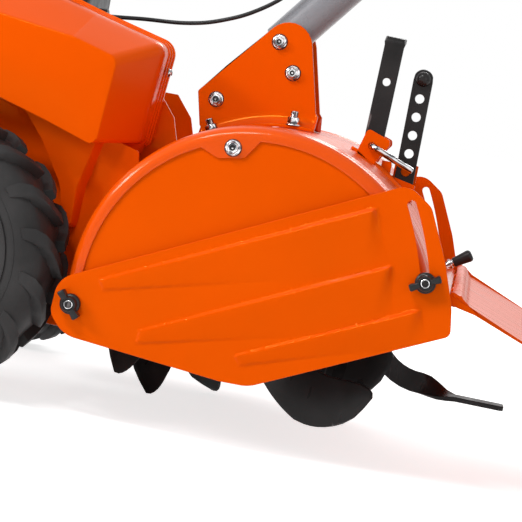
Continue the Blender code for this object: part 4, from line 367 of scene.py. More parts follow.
def make_finishes():
    across = (0.03, 1.0, 0.03)
    finishes = {
        "orange_enamel": orange("orange_enamel_paint", 0.2, 0.955, 7.0)
        .gloss(0.11, 0.18, 26.0)
        .bump(170.0, 0.000035, 2.0)
        .specular(0.45, GLINT),
        "orange_enamel_rolled": orange("orange_enamel_rolled", 0.3, 0.955, 7.0)
        .gloss(0.24, 0.34, 400.0, across)
        .bump(260.0, 0.00012, 2.0, (0.02, 1.0, 0.02))
        .specular(0.22, GLINT)
        .rim_coat(HOOD_HALF - HOOD_FILLET, 0.30, 0.10),
        "orange_moulding": orange("orange_moulding_paint", 0.25, 0.96, 5.0)
        .gloss(0.19, 0.27, 18.0)
        .bump(90.0, 0.00006, 2.0)
        .specular(0.45, GLINT),
        "black_enamel": Finish("black_enamel_paint", 0.35)
        .tone((0.010, 0.010, 0.011), (0.024, 0.024, 0.025), 12.0)
        .specular(0.3)
        .gloss(0.28, 0.42, 40.0)
        .bump(420.0, 0.00015)
        .bump(60.0, 0.0002),
        "gear_enamel": Finish("gear_enamel_paint", 0.4)
        .tone((0.010, 0.010, 0.011), (0.024, 0.024, 0.025), 9.0)
        .specular(0.3)
        .gloss(0.36, 0.52, 30.0)
        .bump(520.0, 0.00022)
        .bump(45.0, 0.0003),
        "cast_aluminium": Finish("cast_alloy", 0.5, 0.85)
        .tone((0.36, 0.36, 0.37), (0.56, 0.56, 0.57), 14.0)
        .gloss(0.38, 0.56, 60.0)
        .bump(900.0, 0.00016)
        .bump(240.0, 0.00012),
        # Plated steel: its base colour carries painted reflection bands, light and dark by the way each face
        # turns.
        "plated_steel": Finish("zinc_painted_reflection", 0.22, 1.0)
        .painted_reflection_tone(grey(0.10), grey(0.86), 2.6, 0.44, 0.56)
        .gloss(0.10, 0.22, 130.0)
        .bump(1400.0, 0.00002),
        "plated_sheet": Finish("plated_sheet", 0.3, 1.0)
        .tone(grey(0.40), grey(0.62), 20.0)
        .gloss(0.24, 0.40, 60.0)
        .bump(300.0, 0.00004),
        "dark_steel": Finish("dark_steel_paint", 0.4)
        .tone((0.009, 0.0085, 0.0085), (0.022, 0.020, 0.020), 22.0)
        .specular(0.2)
        .marks((0.13, 0.12, 0.12), 55.0, 0.66, (1.0, 1.0, 0.16), 0.03)
        .gloss(0.24, 0.40, 60.0, (1.0, 1.0, 0.3))
        .bump(800.0, 0.00005)
        .bump(120.0, 0.00008),
        "black_plastic": Finish("black_moulding", 0.45)
        .tone((0.007, 0.007, 0.0075), (0.016, 0.016, 0.017), 20.0)
        .specular(0.25)
        .gloss(0.26, 0.40, 70.0)
        .bump(1500.0, 0.00005),
        "tyre_rubber": Finish("tread_rubber", 0.6)
        .tone((0.012, 0.011, 0.011), (0.030, 0.028, 0.028), 16.0)
        .specular(0.28)
        .gloss(0.46, 0.66, 35.0)
        .bump(650.0, 0.00014)
        .bump(70.0, 0.00025),
        "belt_rubber": Finish("belt_compound", 0.8)
        .tone((0.012, 0.012, 0.012), (0.030, 0.030, 0.030), 60.0)
        .gloss(0.7, 0.9, 90.0)
        .bump(700.0, 0.0002),
        "grey_enamel": Finish("grey_enamel_paint", 0.28)
        .tone((0.200, 0.205, 0.225), (0.250, 0.255, 0.275), 9.0)
        .gloss(0.22, 0.32, 40.0)
        .bump(260.0, 0.00005, 2.0),
    }
    return {slot: finish.material for slot, finish in finishes.items()}


FINISH = make_finishes()


# Mesh tools


def put(name, build, slot, body, nodes=(), soft=0.0, sharp=50.0, finish=None):
    """One finished piece from a bmesh in the row frame."""
    bmesh.ops.recalc_face_normals(build, faces=build.faces[:])
    mesh = bpy.data.meshes.new(name)
    build.to_mesh(mesh)
    build.free()
    if "custom_normal" in mesh.attributes:
        mesh.attributes.remove(mesh.attributes["custom_normal"])
    mesh.materials.clear()
    mesh.materials.append(FINISH[finish or slot])
    mesh.shade_smooth()
    mesh.set_sharp_from_angle(angle=math.radians(sharp))
    item = bpy.data.objects.new(name, mesh)
    bpy.context.scene.collection.objects.link(item)
    if soft:
        bevel = item.modifiers.new("soft_edges", "BEVEL")
        bevel.width = soft
        bevel.segments = 2
        bevel.limit_method = "ANGLE"
        bevel.angle_limit = math.radians(32.0)
        bevel.harden_normals = False
    even = item.modifiers.new("even_normals", "WEIGHTED_NORMAL")
    even.keep_sharp = not soft
    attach(item, body)
    if nodes:
        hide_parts(*nodes)
    return item


def refine(node, soft):
    """A CAD node's own form with its edges softened, as a piece that stands for it."""
    build = bmesh.new()
    build.from_mesh(frame["nodes"][node].data)
    bmesh.ops.remove_doubles(build, verts=build.verts[:], dist=0.00002)
    limit = math.radians(0.8)
    bmesh.ops.dissolve_limit(build, angle_limit=limit, verts=build.verts[:], edges=build.edges[:])
    for edge in build.edges:
        edge.smooth = True
    slot = SLOT_OF[node]
    broad = "plated_sheet" if slot == "plated_steel" else None
    return put(node + "_finished", build, slot, BODY_OF[node], (node,), soft, finish=broad)


def carve(item, tools):
    """Cuts closed tools out of a piece and keeps the result as its mesh."""
    for tool in tools:
        change = item.modifiers.new("carve", "BOOLEAN")
        change.object = tool
        change.solver = "EXACT"
        item.modifiers.move(len(item.modifiers) - 1, 0)
    others = [m for m in item.modifiers if m.type != "BOOLEAN"]
    for other in others:
        other.show_viewport = False
    bpy.context.view_layer.update()
    evaluated = item.evaluated_get(bpy.context.evaluated_depsgraph_get())
    mesh = bpy.data.meshes.new_from_object(evaluated)
    for change in [m for m in item.modifiers if m.type == "BOOLEAN"]:
        item.modifiers.remove(change)
    for other in others:
        other.show_viewport = True
    item.data = mesh
    mesh.shade_smooth()
    mesh.set_sharp_from_angle(angle=math.radians(50.0))
    for tool in tools:
        bpy.data.objects.remove(tool, do_unlink=True)


def slab_tool(outline, low, high):
    """A closed block of an outline (x, z) between two values of y, to cut with."""
    build = bmesh.new()
    rings = [[build.verts.new((a, y, b)) for a, b in outline] for y in (low, high)]
    build.faces.new(rings[0])
    build.faces.new(rings[1][::-1])
    bridge(build, rings)
    bmesh.ops.recalc_face_normals(build, faces=build.faces[:])
    mesh = bpy.data.meshes.new("tool")
    build.to_mesh(mesh)
    build.free()
    tool = bpy.data.objects.new("tool", mesh)
    bpy.context.scene.collection.objects.link(tool)
    return tool


def at(point, y=0.0):
    """A point (x, z) of the side view as a place in space."""
    return Vector((point[0], y, point[1]))


def heading(degrees):
    """The direction in the side view that rises by an angle towards the rear."""
    turn = math.radians(degrees)
    return Vector((math.cos(turn), 0.0, math.sin(turn)))


def on_circle(centre, radius, degrees):
    """The point of a circle at an angle, as a pair."""
    turn = math.radians(degrees)
    return (centre[0] + radius * math.cos(turn), centre[1] + radius * math.sin(turn))


def arc(centre, radius, first, last, steps):
    """Points along an arc from one angle to another, both ends included."""
    return [on_circle(centre, radius, first + (last - first) * i / steps) for i in range(steps + 1)]


def circle(centre, radius, steps):
    return arc(centre, radius, 0.0, 360.0, steps)[:-1]


def rectangle(low_a, high_a, low_b, high_b):
    return [(low_a, low_b), (high_a, low_b), (high_a, high_b), (low_a, high_b)]


def rounded(corners, steps=7):
    """A closed outline of corners (x, z, radius), each corner rounded with an arc."""
    points = []
    for i, (x, z, radius) in enumerate(corners):
        here = Vector((x, z))
        back = (Vector(corners[i - 1][:2]) - here).normalized()
        ahead = (Vector(corners[(i + 1) % len(corners)][:2]) - here).normalized()
        if radius <= 0.0:
            points.append((x, z))
            continue
        half = back.angle(ahead) / 2.0
        centre = here + (back + ahead).normalized() * (radius / math.sin(half))
        first = here + back * (radius / math.tan(half)) - centre
        last = here + ahead * (radius / math.tan(half)) - centre
        turn = first.angle_signed(last)
        for step in range(steps + 1):
            part = Vector(first)
            part.rotate(Matrix.Rotation(-turn * step / steps, 2))
            points.append(tuple(centre + part))
    return points


def hull_of_circles(first, first_radius, second, second_radius):
    """The outline of a belt round two circles."""
    between = Vector(second) - Vector(first)
    facing = math.degrees(math.atan2(between.y, between.x))
    side = 90.0 - math.degrees(math.asin((first_radius - second_radius) / between.length))
    back = arc(first, first_radius, facing + side, facing + 360.0 - side, 16)
    return back + arc(second, second_radius, facing - side, facing + side, 16)


def grown(loop, by):
    """A closed outline moved outwards by a distance, or inwards where it is negative."""
    count = len(loop)
    area = sum(loop[i - 1][0] * loop[i][1] - loop[i][0] * loop[i - 1][1] for i in range(count))
    sense = 1.0 if area > 0.0 else -1.0
    result = []
    for i, point in enumerate(loop):
        here = Vector(point)
        first = (here - Vector(loop[i - 1])).normalized()
        second = (Vector(loop[(i + 1) % count]) - here).normalized()
        normal = Vector((first.y + second.y, -first.x - second.x)).normalized()
        lean = max(0.4, normal.dot(Vector((first.y, -first.x))))
        result.append(tuple(here + normal * (sense * by / lean)))
    return result


def inside(point, loop):
    """Whether a point lies within a closed outline."""
    x, z = point
    found = False
    for i in range(len(loop)):
        (ax, az), (bx, bz) = loop[i - 1], loop[i]
        if (az > z) != (bz > z) and x < (bx - ax) * (z - az) / (bz - az) + ax:
            found = not found
    return found


def grid_points(outer, holes, edge, spacing, creases):
    """Points inside an outline: the creases, and a triangular grid wherever they leave room."""
    room = grown(outer, -edge - spacing * 0.55)
    walls = [grown(hole, edge + spacing * 0.45) for hole in holes]

    def free(point):
        return inside(point, room) and not any(inside(point, wall) for wall in walls)

    points = [crease for crease in creases if free(crease)]
    nearby = KDTree(len(points) + 1)
    nearby.insert((9.0, 9.0, 9.0), 0)
    for i, (a, b) in enumerate(points):
        nearby.insert((a, b, 0.0), i + 1)
    nearby.balance()
    low_a, high_a = min(p[0] for p in outer), max(p[0] for p in outer)
    low_b, high_b = min(p[1] for p in outer), max(p[1] for p in outer)
    row = 0
    b = low_b
    while b < high_b:
        a = low_a + (spacing / 2.0 if row % 2 else 0.0)
        while a < high_a:
            if nearby.find((a, b, 0.0))[2] > spacing * 0.42 and free((a, b)):
                points.append((a, b))
            a += spacing
        b += spacing * 0.866
        row += 1
    return points


def sheet(build, outer, holes, spacing, place, edge=0.0005, turn=0.22, creases=()):
    """A sheet with rounded edges: place(a, b, t) is a point of it, with t from one face (0) to the other (1).

    Its mesh has a point at each point of the creases, so that they show crisp.
    """
    true_loops = [outer, *holes]
    loops = [grown(outer, -edge)] + [grown(hole, edge) for hole in holes]
    points, edges = [], []
    for loop in loops:
        start = len(points)
        points += loop
        edges += [(start + i, start + (i + 1) % len(loop)) for i in range(len(loop))]
    if spacing:
        points += grid_points(outer, holes, edge, spacing, creases)
    found = delaunay_2d_cdt([Vector(p) for p in points], edges, [], 1, 1e-7)
    spots, faces, sources = found[0], found[2], found[3]
    where = {}
    for i, given in enumerate(sources):
        for k in given:
            where[k] = i
    sides = [[build.verts.new(place(p.x, p.y, t)) for p in spots] for t in (0.0, 1.0)]
    for face in faces:
        centre = sum((spots[i] for i in face), Vector((0.0, 0.0))) / len(face)
        if not inside(centre, loops[0]) or any(inside(centre, hole) for hole in loops[1:]):
            continue
        build.faces.new([sides[0][i] for i in face])
        build.faces.new([sides[1][i] for i in reversed(face)])
    start = 0
    for loop, trimmed in zip(true_loops, loops):
        first, last = ([side[where[start + i]] for i in range(len(trimmed))] for side in sides)
        between = [[build.verts.new(place(a, b, t)) for a, b in loop] for t in (turn, 1.0 - turn)]
        bridge(build, [first, *between, last])
        start += len(trimmed)
    for vert in [v for v in build.verts if not v.link_faces]:
        build.verts.remove(vert)


def plate(build, outline, holes, low, high, edge=0.0005):
    """A flat plate with rounded edges, in the plane square to Y."""
    turn = min(0.45, edge / abs(high - low))
    sheet(build, outline, holes, None, lambda a, b, t: (a, low + (high - low) * t, b), edge, turn)


def bridge(build, rings):
    """Faces between closed rings of vertices, each next to the last. A ring of one vertex is a tip."""
    for first, second in zip(rings, rings[1:]):
        count = max(len(first), len(second))
        for i in range(count):
            j = (i + 1) % count
            if len(first) == 1:
                build.faces.new((first[0], second[j], second[i]))
            elif len(second) == 1:
                build.faces.new((first[i], first[j], second[0]))
            else:
                build.faces.new((first[i], first[j], second[j], second[i]))


def cap(build, rings):
    """Closes the first ring and the last, and bridges all of them."""
    build.faces.new(rings[0])
    build.faces.new(rings[-1][::-1])
    bridge(build, rings)


def frame_along(direction):
    """Two directions square to a given one and to each other."""
    ahead = Vector(direction).normalized()
    up = Vector((0.0, 0.0, 1.0))
    if abs(ahead.dot(up)) > 0.95:
        up = Vector((1.0, 0.0, 0.0))
    side = ahead.cross(up).normalized()
    return side, side.cross(ahead).normalized()


def ring_of(build, centre, side, up, radius, segments, phase=0.0):
    """A ring of vertices round a centre, or its tip where the radius is nil."""
    if radius <= 0.0:
        return [build.verts.new(centre)]
    turns = [2.0 * math.pi * (i + phase) / segments for i in range(segments)]
    return [build.verts.new(centre + (side * math.cos(t) + up * math.sin(t)) * radius) for t in turns]


def lathe(build, start, axis, profile, segments, phase=0.0):
    """A turned solid of points (along, radius). It is a ring where the profile doesn't end on the axis."""
    ahead = Vector(axis).normalized()
    side, up = frame_along(ahead)
    rings = []
    for along, radius in profile:
        rings.append(ring_of(build, Vector(start) + ahead * along, side, up, radius, segments, phase))
    if len(rings[0]) > 1 and len(rings[-1]) > 1:
        rings.append(rings[0])
    bridge(build, rings)


def rod(build, start, end, radius, segments=40, chamfer=0.0006):
    """A straight round bar with chamfered ends."""
    length = (Vector(end) - Vector(start)).length
    profile = [(0.0, 0.0), (0.0, radius - chamfer), (chamfer, radius)]
    profile += [(length - chamfer, radius), (length, radius - chamfer), (length, 0.0)]
    lathe(build, start, Vector(end) - Vector(start), profile, segments)


def bent_route(corners, bend, steps):
    """Points along straight lines between corners, each corner bent on an arc."""
    knots = [Vector(c) for c in corners]
    route = [knots[0]]
    for before, here, after in zip(knots, knots[1:], knots[2:]):
        back = (before - here).normalized()
        ahead = (after - here).normalized()
        half = back.angle(ahead) / 2.0
        reach = min(bend / math.tan(half), 0.48 * (before - here).length, 0.48 * (after - here).length)
        centre = here + (back + ahead).normalized() * (reach * math.tan(half) / math.sin(half))
        first = here + back * reach - centre
        last = here + ahead * reach - centre
        normal = first.cross(last).normalized()
        turn = first.angle(last)
        for step in range(steps + 1):
            route.append(centre + Matrix.Rotation(turn * step / steps, 3, normal) @ first)
    route.append(knots[-1])
    return route


def tube(build, route, radius, segments, round_end=0.3):
    """A round bar along a route, its ends slightly rounded."""
    ends = radius * round_end
    points = [Vector(p) for p in route]
    first_way = (points[1] - points[0]).normalized()
    last_way = (points[-1] - points[-2]).normalized()
    stations = [(points[0], 0.0), (points[0], radius - ends), (points[0] + first_way * ends, radius)]
    stations += [(p, radius) for p in points[1:-1]]
    stations += [(points[-1] - last_way * ends, radius), (points[-1], radius - ends), (points[-1], 0.0)]
    side = frame_along(first_way)[0]
    rings = []
    count = len(stations)
    for i, (centre, station_radius) in enumerate(stations):
        ahead = stations[min(i + 1, count - 1)][0] - stations[max(i - 1, 0)][0]
        ahead = first_way if i < 3 else last_way if i > count - 4 else ahead.normalized()
        side = (side - ahead * side.dot(ahead)).normalized()
        rings.append(ring_of(build, centre, side, ahead.cross(side), station_radius, segments))
    bridge(build, rings)


def flange_bolt(build, dark_and_shade, place, axis, scale, turn, height=0.0064):
    """A hexagon head on its washer face. The second bmesh takes painted shade: a dark fill in its socket, and
    a painted shadow ring under its washer.
    """
    flange = 0.0086 * scale
    head = 0.0066 * scale
    socket = head * 0.50
    under = flange - 0.002
    low = 0.0005
    washer = [(low, socket), (low, flange), (0.0012, flange), (0.0021, flange * 0.93)]
    washer += [(0.0027, head), (0.0027, socket)]
    hexagon = [(0.0012, socket), (0.0012, head), (height - 0.0009, head)]
    hexagon += [(height, head * 0.86), (height, socket)]
    inner, top, floor = socket * 0.96, height + 0.0002, height - 0.0014
    collar = [(0.0012, inner), (0.0012, socket * 1.25), (top, socket * 1.2), (top, inner)]
    # Painted shade: a dark fill inside the socket, where its recess is shaded.
    dark = [(low, 0.0), (low, socket * 0.95), (height - 0.0012, socket * 0.95), (height - 0.0012, 0.0)]
    button = [(floor, 0.0), (floor, socket * 0.42), (height - 0.0006, socket * 0.36), (height - 0.0004, 0.0)]
    # Painted shadow: a dark ring round the washer's foot, where its shade falls on the part below.
    shadow = [(0.0, under), (0.0, flange + 0.0009), (low, flange + 0.0006), (low, under)]
    lathe(dark_and_shade, place, axis, shadow, 40)
    lathe(build, place, axis, washer, 40)
    lathe(build, place, axis, hexagon, 6, turn)
    lathe(build, place, axis, collar, 24)
    lathe(dark_and_shade, place, axis, dark, 24)
    lathe(build, place, axis, button, 20)


def stud_nut(build, dark_and_shade, place, axis, turn):
    """A flanged nut with the stud's threaded end standing out of it."""
    bore = 0.004
    # Painted shadow: a dark ring round the washer's foot, where its shade falls on the part below.
    shadow = [(0.0, bore), (0.0, 0.0102), (0.0005, 0.0100), (0.0005, bore)]
    washer = [(0.0005, bore), (0.0005, 0.0095), (0.0014, 0.0095), (0.0030, 0.0076), (0.0030, bore)]
    hexagon = [(0.0020, bore), (0.0020, 0.0079), (0.0095, 0.0079), (0.0106, 0.0068), (0.0106, bore)]
    stud = [(0.0, 0.0), (0.0, 0.0044)]
    for i in range(9):
        start = 0.0102 + 0.0008 * i
        stud += [(start, 0.0044), (start + 0.0004, 0.0049)]
    stud += [(0.0178, 0.0044), (0.0182, 0.0036), (0.0182, 0.0)]
    lathe(dark_and_shade, place, axis, shadow, 40)
    lathe(build, place, axis, washer, 40)
    lathe(build, place, axis, hexagon, 6, turn)
    lathe(build, place, axis, stud, 24)


def put_bolts(name, build, dark_and_shade, body, nodes=()):
    """Plated bolts as one piece, and as another their dark pieces: the painted shade in their sockets and the
    painted shadow rings under them, with any dark studs built alongside.
    """
    put(name, build, "plated_steel", body, nodes)
    put(name + "_dark_pieces_and_shade", dark_and_shade, "dark_steel", body)


def clamp(value):
    return min(1.0, max(0.0, value))


def smooth_step(value):
    value = clamp(value)
    return value * value * (3.0 - 2.0 * value)


# Hood


# The tab for the top bolt on the flange's inner edge: degrees and radius of its corners
TAB = ((116.0, HOOD_FLANGE_RADIUS), (111.2, 0.1798), (101.2, 0.1768), (95.8, HOOD_FLANGE_RADIUS))
HOOD_START = 190.0
HOOD_STEP = 1.5
HOOD_STEPS = 117
BEADS = (-0.2215, -0.2070)
BEAD_SECTION = ((-0.0045, 0.0), (-0.0022, 0.0008), (0.0, 0.0011), (0.0022, 0.0008), (0.0045, 0.0))


def flange_edge(degrees):
    """The radius of the flange's inner edge, which drops at the tab for the top bolt."""
    if not TAB[3][0] < degrees < TAB[0][0]:
        return HOOD_FLANGE_RADIUS
    for (first, low), (last, high) in zip(TAB, TAB[1:]):
        if last <= degrees <= first:
            a = Vector(on_circle((0.0, 0.0), low, first))
            b = Vector(on_circle((0.0, 0.0), high, last))
            ray = Vector(on_circle((0.0, 0.0), 1.0, degrees))
            way = b - a
            share = (a.y * ray.x - a.x * ray.y) / (way.x * ray.y - way.y * ray.x)
            return (a + way * share).length
    return HOOD_FLANGE_RADIUS


def hood_half_section(edge):
    """Points (y, radius) of the outer face and of the inner one, from the left flange to the middle."""
    centre = (-HOOD_HALF + HOOD_FILLET, HOOD_RADIUS - HOOD_FILLET)
    outer = [(-HOOD_HALF + 0.0004, edge), (-HOOD_HALF, edge + 0.0006)]
    outer += arc(centre, HOOD_FILLET, 180.0, 90.0, 8)
    outer += [(y + out, HOOD_RADIUS + rise) for y in BEADS for out, rise in BEAD_SECTION]
    outer.append((0.0, HOOD_RADIUS))
    inner = [(-HOOD_HALF + SHEET - 0.0004, edge), (-HOOD_HALF + SHEET, edge + 0.0006)]
    inner += arc(centre, HOOD_FILLET - SHEET, 180.0, 90.0, 8)
    inner.append((0.0, HOOD_RADIUS - SHEET))
    return outer, inner


def make_hood_shell():
    """The rolled hood, open at the front for the gear case and slotted for the stake."""
    turns = [HOOD_START - HOOD_STEP * i for i in range(HOOD_STEPS)]
    turns += [corner[0] + shift for corner in TAB for shift in (-0.25, 0.0, 0.25)]
    build = bmesh.new()
    rings = []
    for degrees in sorted({round(t, 3) for t in turns}, reverse=True):
        outer, inner = hood_half_section(flange_edge(degrees))
        section = outer + [(-y, r) for y, r in outer[-2::-1] + inner] + inner[-2::-1]
        rings.append([build.verts.new(at(on_circle(TINE_CENTRE, r, degrees), y)) for y, r in section])
    cap(build, rings)
    rolled = "orange_enamel_rolled"
    hood = put("hood_shell", build, "orange_enamel", "chassis", ("tine_hood",), sharp=40.0, finish=rolled)
    gate = slab_tool(rectangle(-0.30, TINE_CENTRE[0] - 0.060, 0.050, 0.2530), -0.0620, 0.0620)
    slot = slab_tool(rectangle(STAKE_X - 0.0160, STAKE_X + 0.0160, 0.25, 0.40), -0.0070, 0.0070)
    carve(hood, [gate, slot])


def make_hinge_lip():
    """The lip under the flap's hinge, with the loops that hold the hinge rod."""
    half = HOOD_HALF - 0.012
    thin = 0.0012
    root_x, root_z = on_circle(TINE_CENTRE, HOOD_RADIUS - 0.0015, 17.0)
    hinge_x, hinge_z = FLAP_HINGE
    end_x = hinge_x - 0.0069
    lip = [(root_x - 0.0005, root_z - thin), (end_x, hinge_z - thin)]
    lip += [(end_x, hinge_z + thin), (root_x - 0.0005, root_z + 0.0030)]
    strap = rectangle(end_x - 0.004, hinge_x - 0.005, hinge_z - thin, hinge_z + thin)
    build = bmesh.new()
    plate(build, lip, [], -half, half, 0.0003)
    for y in (-0.226, -0.010, 0.206):
        plate(build, circle(FLAP_HINGE, EYE_RADIUS, 28), [circle(FLAP_HINGE, 0.0043, 20)], y, y + 0.020)
        plate(build, strap, [], y + 0.0002, y + 0.0198, 0.0003)
    put("hood_hinge_lip", build, "orange_enamel", "chassis")


def make_shield_studs():
    for word, side in SIDES:
        build, dark_and_shade = bmesh.new(), bmesh.new()
        flange_bolt(build, dark_and_shade, at(HOOD_BOLT, side * (HOOD_HALF - 0.0002)), (0, side, 0), 1.1, 0.3)
        for stud in (SHIELD_PIVOT, SHIELD_SLOT):
            rod(build, at(stud, side * 0.2436), at(stud, side * (SHIELD_Y - GAP)), 0.008, 36)
            rod(dark_and_shade, at(stud, side * 0.2440), at(stud, side * 0.2700), STUD_RADIUS, 28, 0.0008)
        put_bolts(word + "_shield_studs", build, dark_and_shade, "chassis")


# Side shields


RIBS = (
    ((-0.1317, 0.1706), (0.1700, 0.3142), (0.2033, 0.2398), (-0.1220, 0.1560)),
    ((-0.0726, 0.1227), (0.2005, 0.2540), (0.2171, 0.1750), (-0.0757, 0.1020)),
    ((0.0382, 0.1155), (0.2406, 0.2110), (0.2596, 0.1700), (0.0500, 0.1020)),
)
RIB_RISE = 0.0068
RIB_FLANK = 0.0048
CREASE_STEP = 0.0045
CREASE_DEPTHS = (0.0, 0.0012, 0.0024, 0.0036, 0.0050)
SHIELD_CORNERS = (
    (-0.1765, 0.1615, 0.030), (0.2015, 0.3445, 0.024), (0.2310, 0.3240, 0.018), (0.2570, 0.2680, 0.100),
    (0.2745, 0.2180, 0.080), (0.2795, 0.1850, 0.009), (0.0640, 0.0820, 0.045), (0.0300, 0.0815, 0.045),
    (-0.1590, 0.0980, 0.036), (-0.1790, 0.1200, 0.020),
)


def in_quad(x, z, quad):
    """How far along and across a quad of corners a point lies, each 0 to 1 inside it."""
    (ax, az), (bx, bz), (cx, cz), (dx, dz) = quad
    skew_x, skew_z = ax - bx + cx - dx, az - bz + cz - dz
    u, v = 0.5, 0.5
    for _ in range(6):
        px = ax + (bx - ax) * u + (dx - ax) * v + skew_x * u * v
        pz = az + (bz - az) * u + (dz - az) * v + skew_z * u * v
        ux, uz = (bx - ax) + skew_x * v, (bz - az) + skew_z * v
        vx, vz = (dx - ax) + skew_x * u, (dz - az) + skew_z * u
        size = ux * vz - uz * vx
        if abs(size) < 1e-12:
            return -1.0, -1.0
        u += ((x - px) * vz - (z - pz) * vx) / size
        v += ((z - pz) * ux - (x - px) * uz) / size
    return u, v


def rib_sides(quad, share):
    """The points of a rib's upper and lower edge at a share of its length."""
    top = Vector(quad[0]).lerp(Vector(quad[1]), share)
    foot = Vector(quad[3]).lerp(Vector(quad[2]), share)
    return top, foot


def rib_height(x, z):
    """The pressed ribs: a fan of wedges, flat and steep at the front, running out below further back."""
    height = 0.0
    for quad in RIBS:
        u, v = in_quad(x, z, quad)
        if not (-0.02 < u < 1.02 and -0.2 < v < 1.2):
            continue
        down = clamp(v)
        top, foot = rib_sides(quad, clamp(u))
        breadth = (top - foot).length
        length = (Vector(quad[0]) - Vector(quad[1])).length
        blunt = RIB_FLANK + 0.034 * down
        along = smooth_step(u * length / RIB_FLANK) * smooth_step((1.0 - u) * length / blunt)
        across = smooth_step(v * breadth / RIB_FLANK) * smooth_step((1.0 - v) * breadth / RIB_FLANK)
        fall = 1.0 - down * (0.45 + 0.55 * smooth_step(u / 0.55))
        height = max(height, RIB_RISE * (0.40 + 0.60 * u) * along * across * fall)
    return height


def rib_creases():
    """Points along the ribs' edges, where the sheet's mesh has to be fine."""
    points = []
    for quad in RIBS:
        length = (Vector(quad[0]) - Vector(quad[1])).length
        steps = int(length / CREASE_STEP)
        for i in range(steps + 1):
            share = i / steps
            top, foot = rib_sides(quad, share)
            way = (foot - top).normalized()
            breadth = (foot - top).length
            for depth in CREASE_DEPTHS:
                points.append(tuple(top + way * depth))
                if breadth - depth > 0.0062 and share < 0.6:
                    points.append(tuple(foot - way * depth))
        ends = [0.0, 0.0015 / length, 0.003 / length]
        for share in ends + [1.0 - end for end in ends[::-1]]:
            top, foot = rib_sides(quad, share)
            breadth = (foot - top).length
            count = max(2, int(breadth / 0.002))
            for i in range(count + 1):
                if 0.0055 < breadth * i / count < breadth - 0.0055:
                    points.append(tuple(top.lerp(foot, i / count)))
    return points


def shield_slot():
    """The curved slot, on a circle round the shield's pivot."""
    reach = Vector(SHIELD_SLOT) - Vector(SHIELD_PIVOT)
    first = math.degrees(math.atan2(reach.y, reach.x))
    last = first + SHIELD_DROP + SLOT_SPARE
    length = reach.length
    slot = arc(SHIELD_PIVOT, length - SLOT_HALF, first, last, 14)
    slot += arc(on_circle(SHIELD_PIVOT, length, last), SLOT_HALF, last + 180.0, last, 8)[1:-1]
    slot += arc(SHIELD_PIVOT, length + SLOT_HALF, last, first, 14)
    slot += arc(on_circle(SHIELD_PIVOT, length, first), SLOT_HALF, first, first - 180.0, 8)[1:-1]
    return slot


def make_shield(word, side):
    holes = [shield_slot(), circle(SHIELD_PIVOT, STUD_RADIUS + GAP, 24)]

    def place(a, b, t):
        return (a, side * (SHIELD_Y + SHIELD_SHEET * t + rib_height(a, b)), b)

    build = bmesh.new()
    sheet(build, rounded(SHIELD_CORNERS, 9), holes, 0.0042, place, creases=rib_creases())
    name = word + "_side_shield"
    put(word + "_shield_sheet", build, "orange_enamel", BODY_OF[name], (name,), sharp=40.0)


KNOB_BORE = STUD_RADIUS + GAP
KNOB_PROFILE = (
    (0.0, KNOB_BORE), (0.0, 0.0112), (0.0008, 0.0120), (0.0050, 0.0121), (0.0062, 0.0112), (0.0070, 0.0096),
    (0.0130, 0.0089), (0.0140, 0.0081), (0.0140, 0.0066), (0.0130, 0.0060), (0.0130, KNOB_BORE),
)
BUSH_BORE = STUD_RADIUS + 0.00025
BUSH_PROFILE = ((0.010, BUSH_BORE), (0.010, 0.0052), (0.0136, 0.0052), (0.0140, 0.0047), (0.0140, 0.0041))
KNOB_WING = (
    (0.0065, -0.0032, 0.0), (0.0185, -0.0044, 0.0018), (0.0185, 0.0044, 0.0018), (0.0065, 0.0032, 0.0),
)


def make_knob(node, side, place, wing_turn):
    """A moulded wing knob: a turned hub with a metal bush, and two thick wings."""
    seat = side * (SHIELD_Y + SHIELD_SHEET + GAP)
    build = bmesh.new()
    lathe(build, at(place, seat), (0, side, 0), KNOB_PROFILE, 44)
    for hand in (0.0, 180.0):
        out = Vector(on_circle((0.0, 0.0), 1.0, wing_turn + hand))
        across = Vector((-out.y, out.x))
        flat = [tuple(Vector(place) + out * a + across * b) for a, b in rounded(KNOB_WING, 5)]
        plate(build, flat, [], seat + side * 0.0035, seat + side * 0.0165, 0.0012)
    put(node + "_moulding", build, "black_plastic", BODY_OF[node], (node,), sharp=45.0)
    build = bmesh.new()
    lathe(build, at(place, seat), (0, side, 0), BUSH_PROFILE, 32)
    put(node + "_bush", build, "plated_steel", BODY_OF[node])


# Belt cover, with the wall and the frame behind it


# Corners (x, z, radius) of the cover and of the leg below it, at their rims and at their faces
COVER_RIM = (
    (-0.1300, 0.3220, 0.012), (-0.1172, 0.4533, 0.020), (-0.2130, 0.4766, 0.050), (-0.3300, 0.5095, 0.060),
    (-0.4400, 0.5120, 0.060), (-0.5200, 0.4550, 0.050), (-0.5200, 0.3500, 0.030), (-0.4400, 0.3540, 0.020),
    (-0.3300, 0.3600, 0.030), (-0.1750, 0.3155, 0.020),
)
COVER_FACE = (
    (-0.1744, 0.3170, 0.008), (-0.1660, 0.4240, 0.014), (-0.2210, 0.4390, 0.050), (-0.3300, 0.4530, 0.060),
    (-0.4200, 0.4560, 0.040), (-0.4850, 0.4200, 0.030), (-0.4900, 0.3650, 0.020), (-0.4400, 0.3640, 0.020),
    (-0.3300, 0.3615, 0.030), (-0.2330, 0.3346, 0.020),
)
LEG_RIM = (
    (-0.1320, 0.335, 0), (-0.1585, 0.262, 0.030), (-0.1765, 0.200, 0.010), (-0.2060, 0.200, 0.006),
    (-0.2250, 0.270, 0.040), (-0.2600, 0.322, 0.020), (-0.300, 0.370, 0),
)
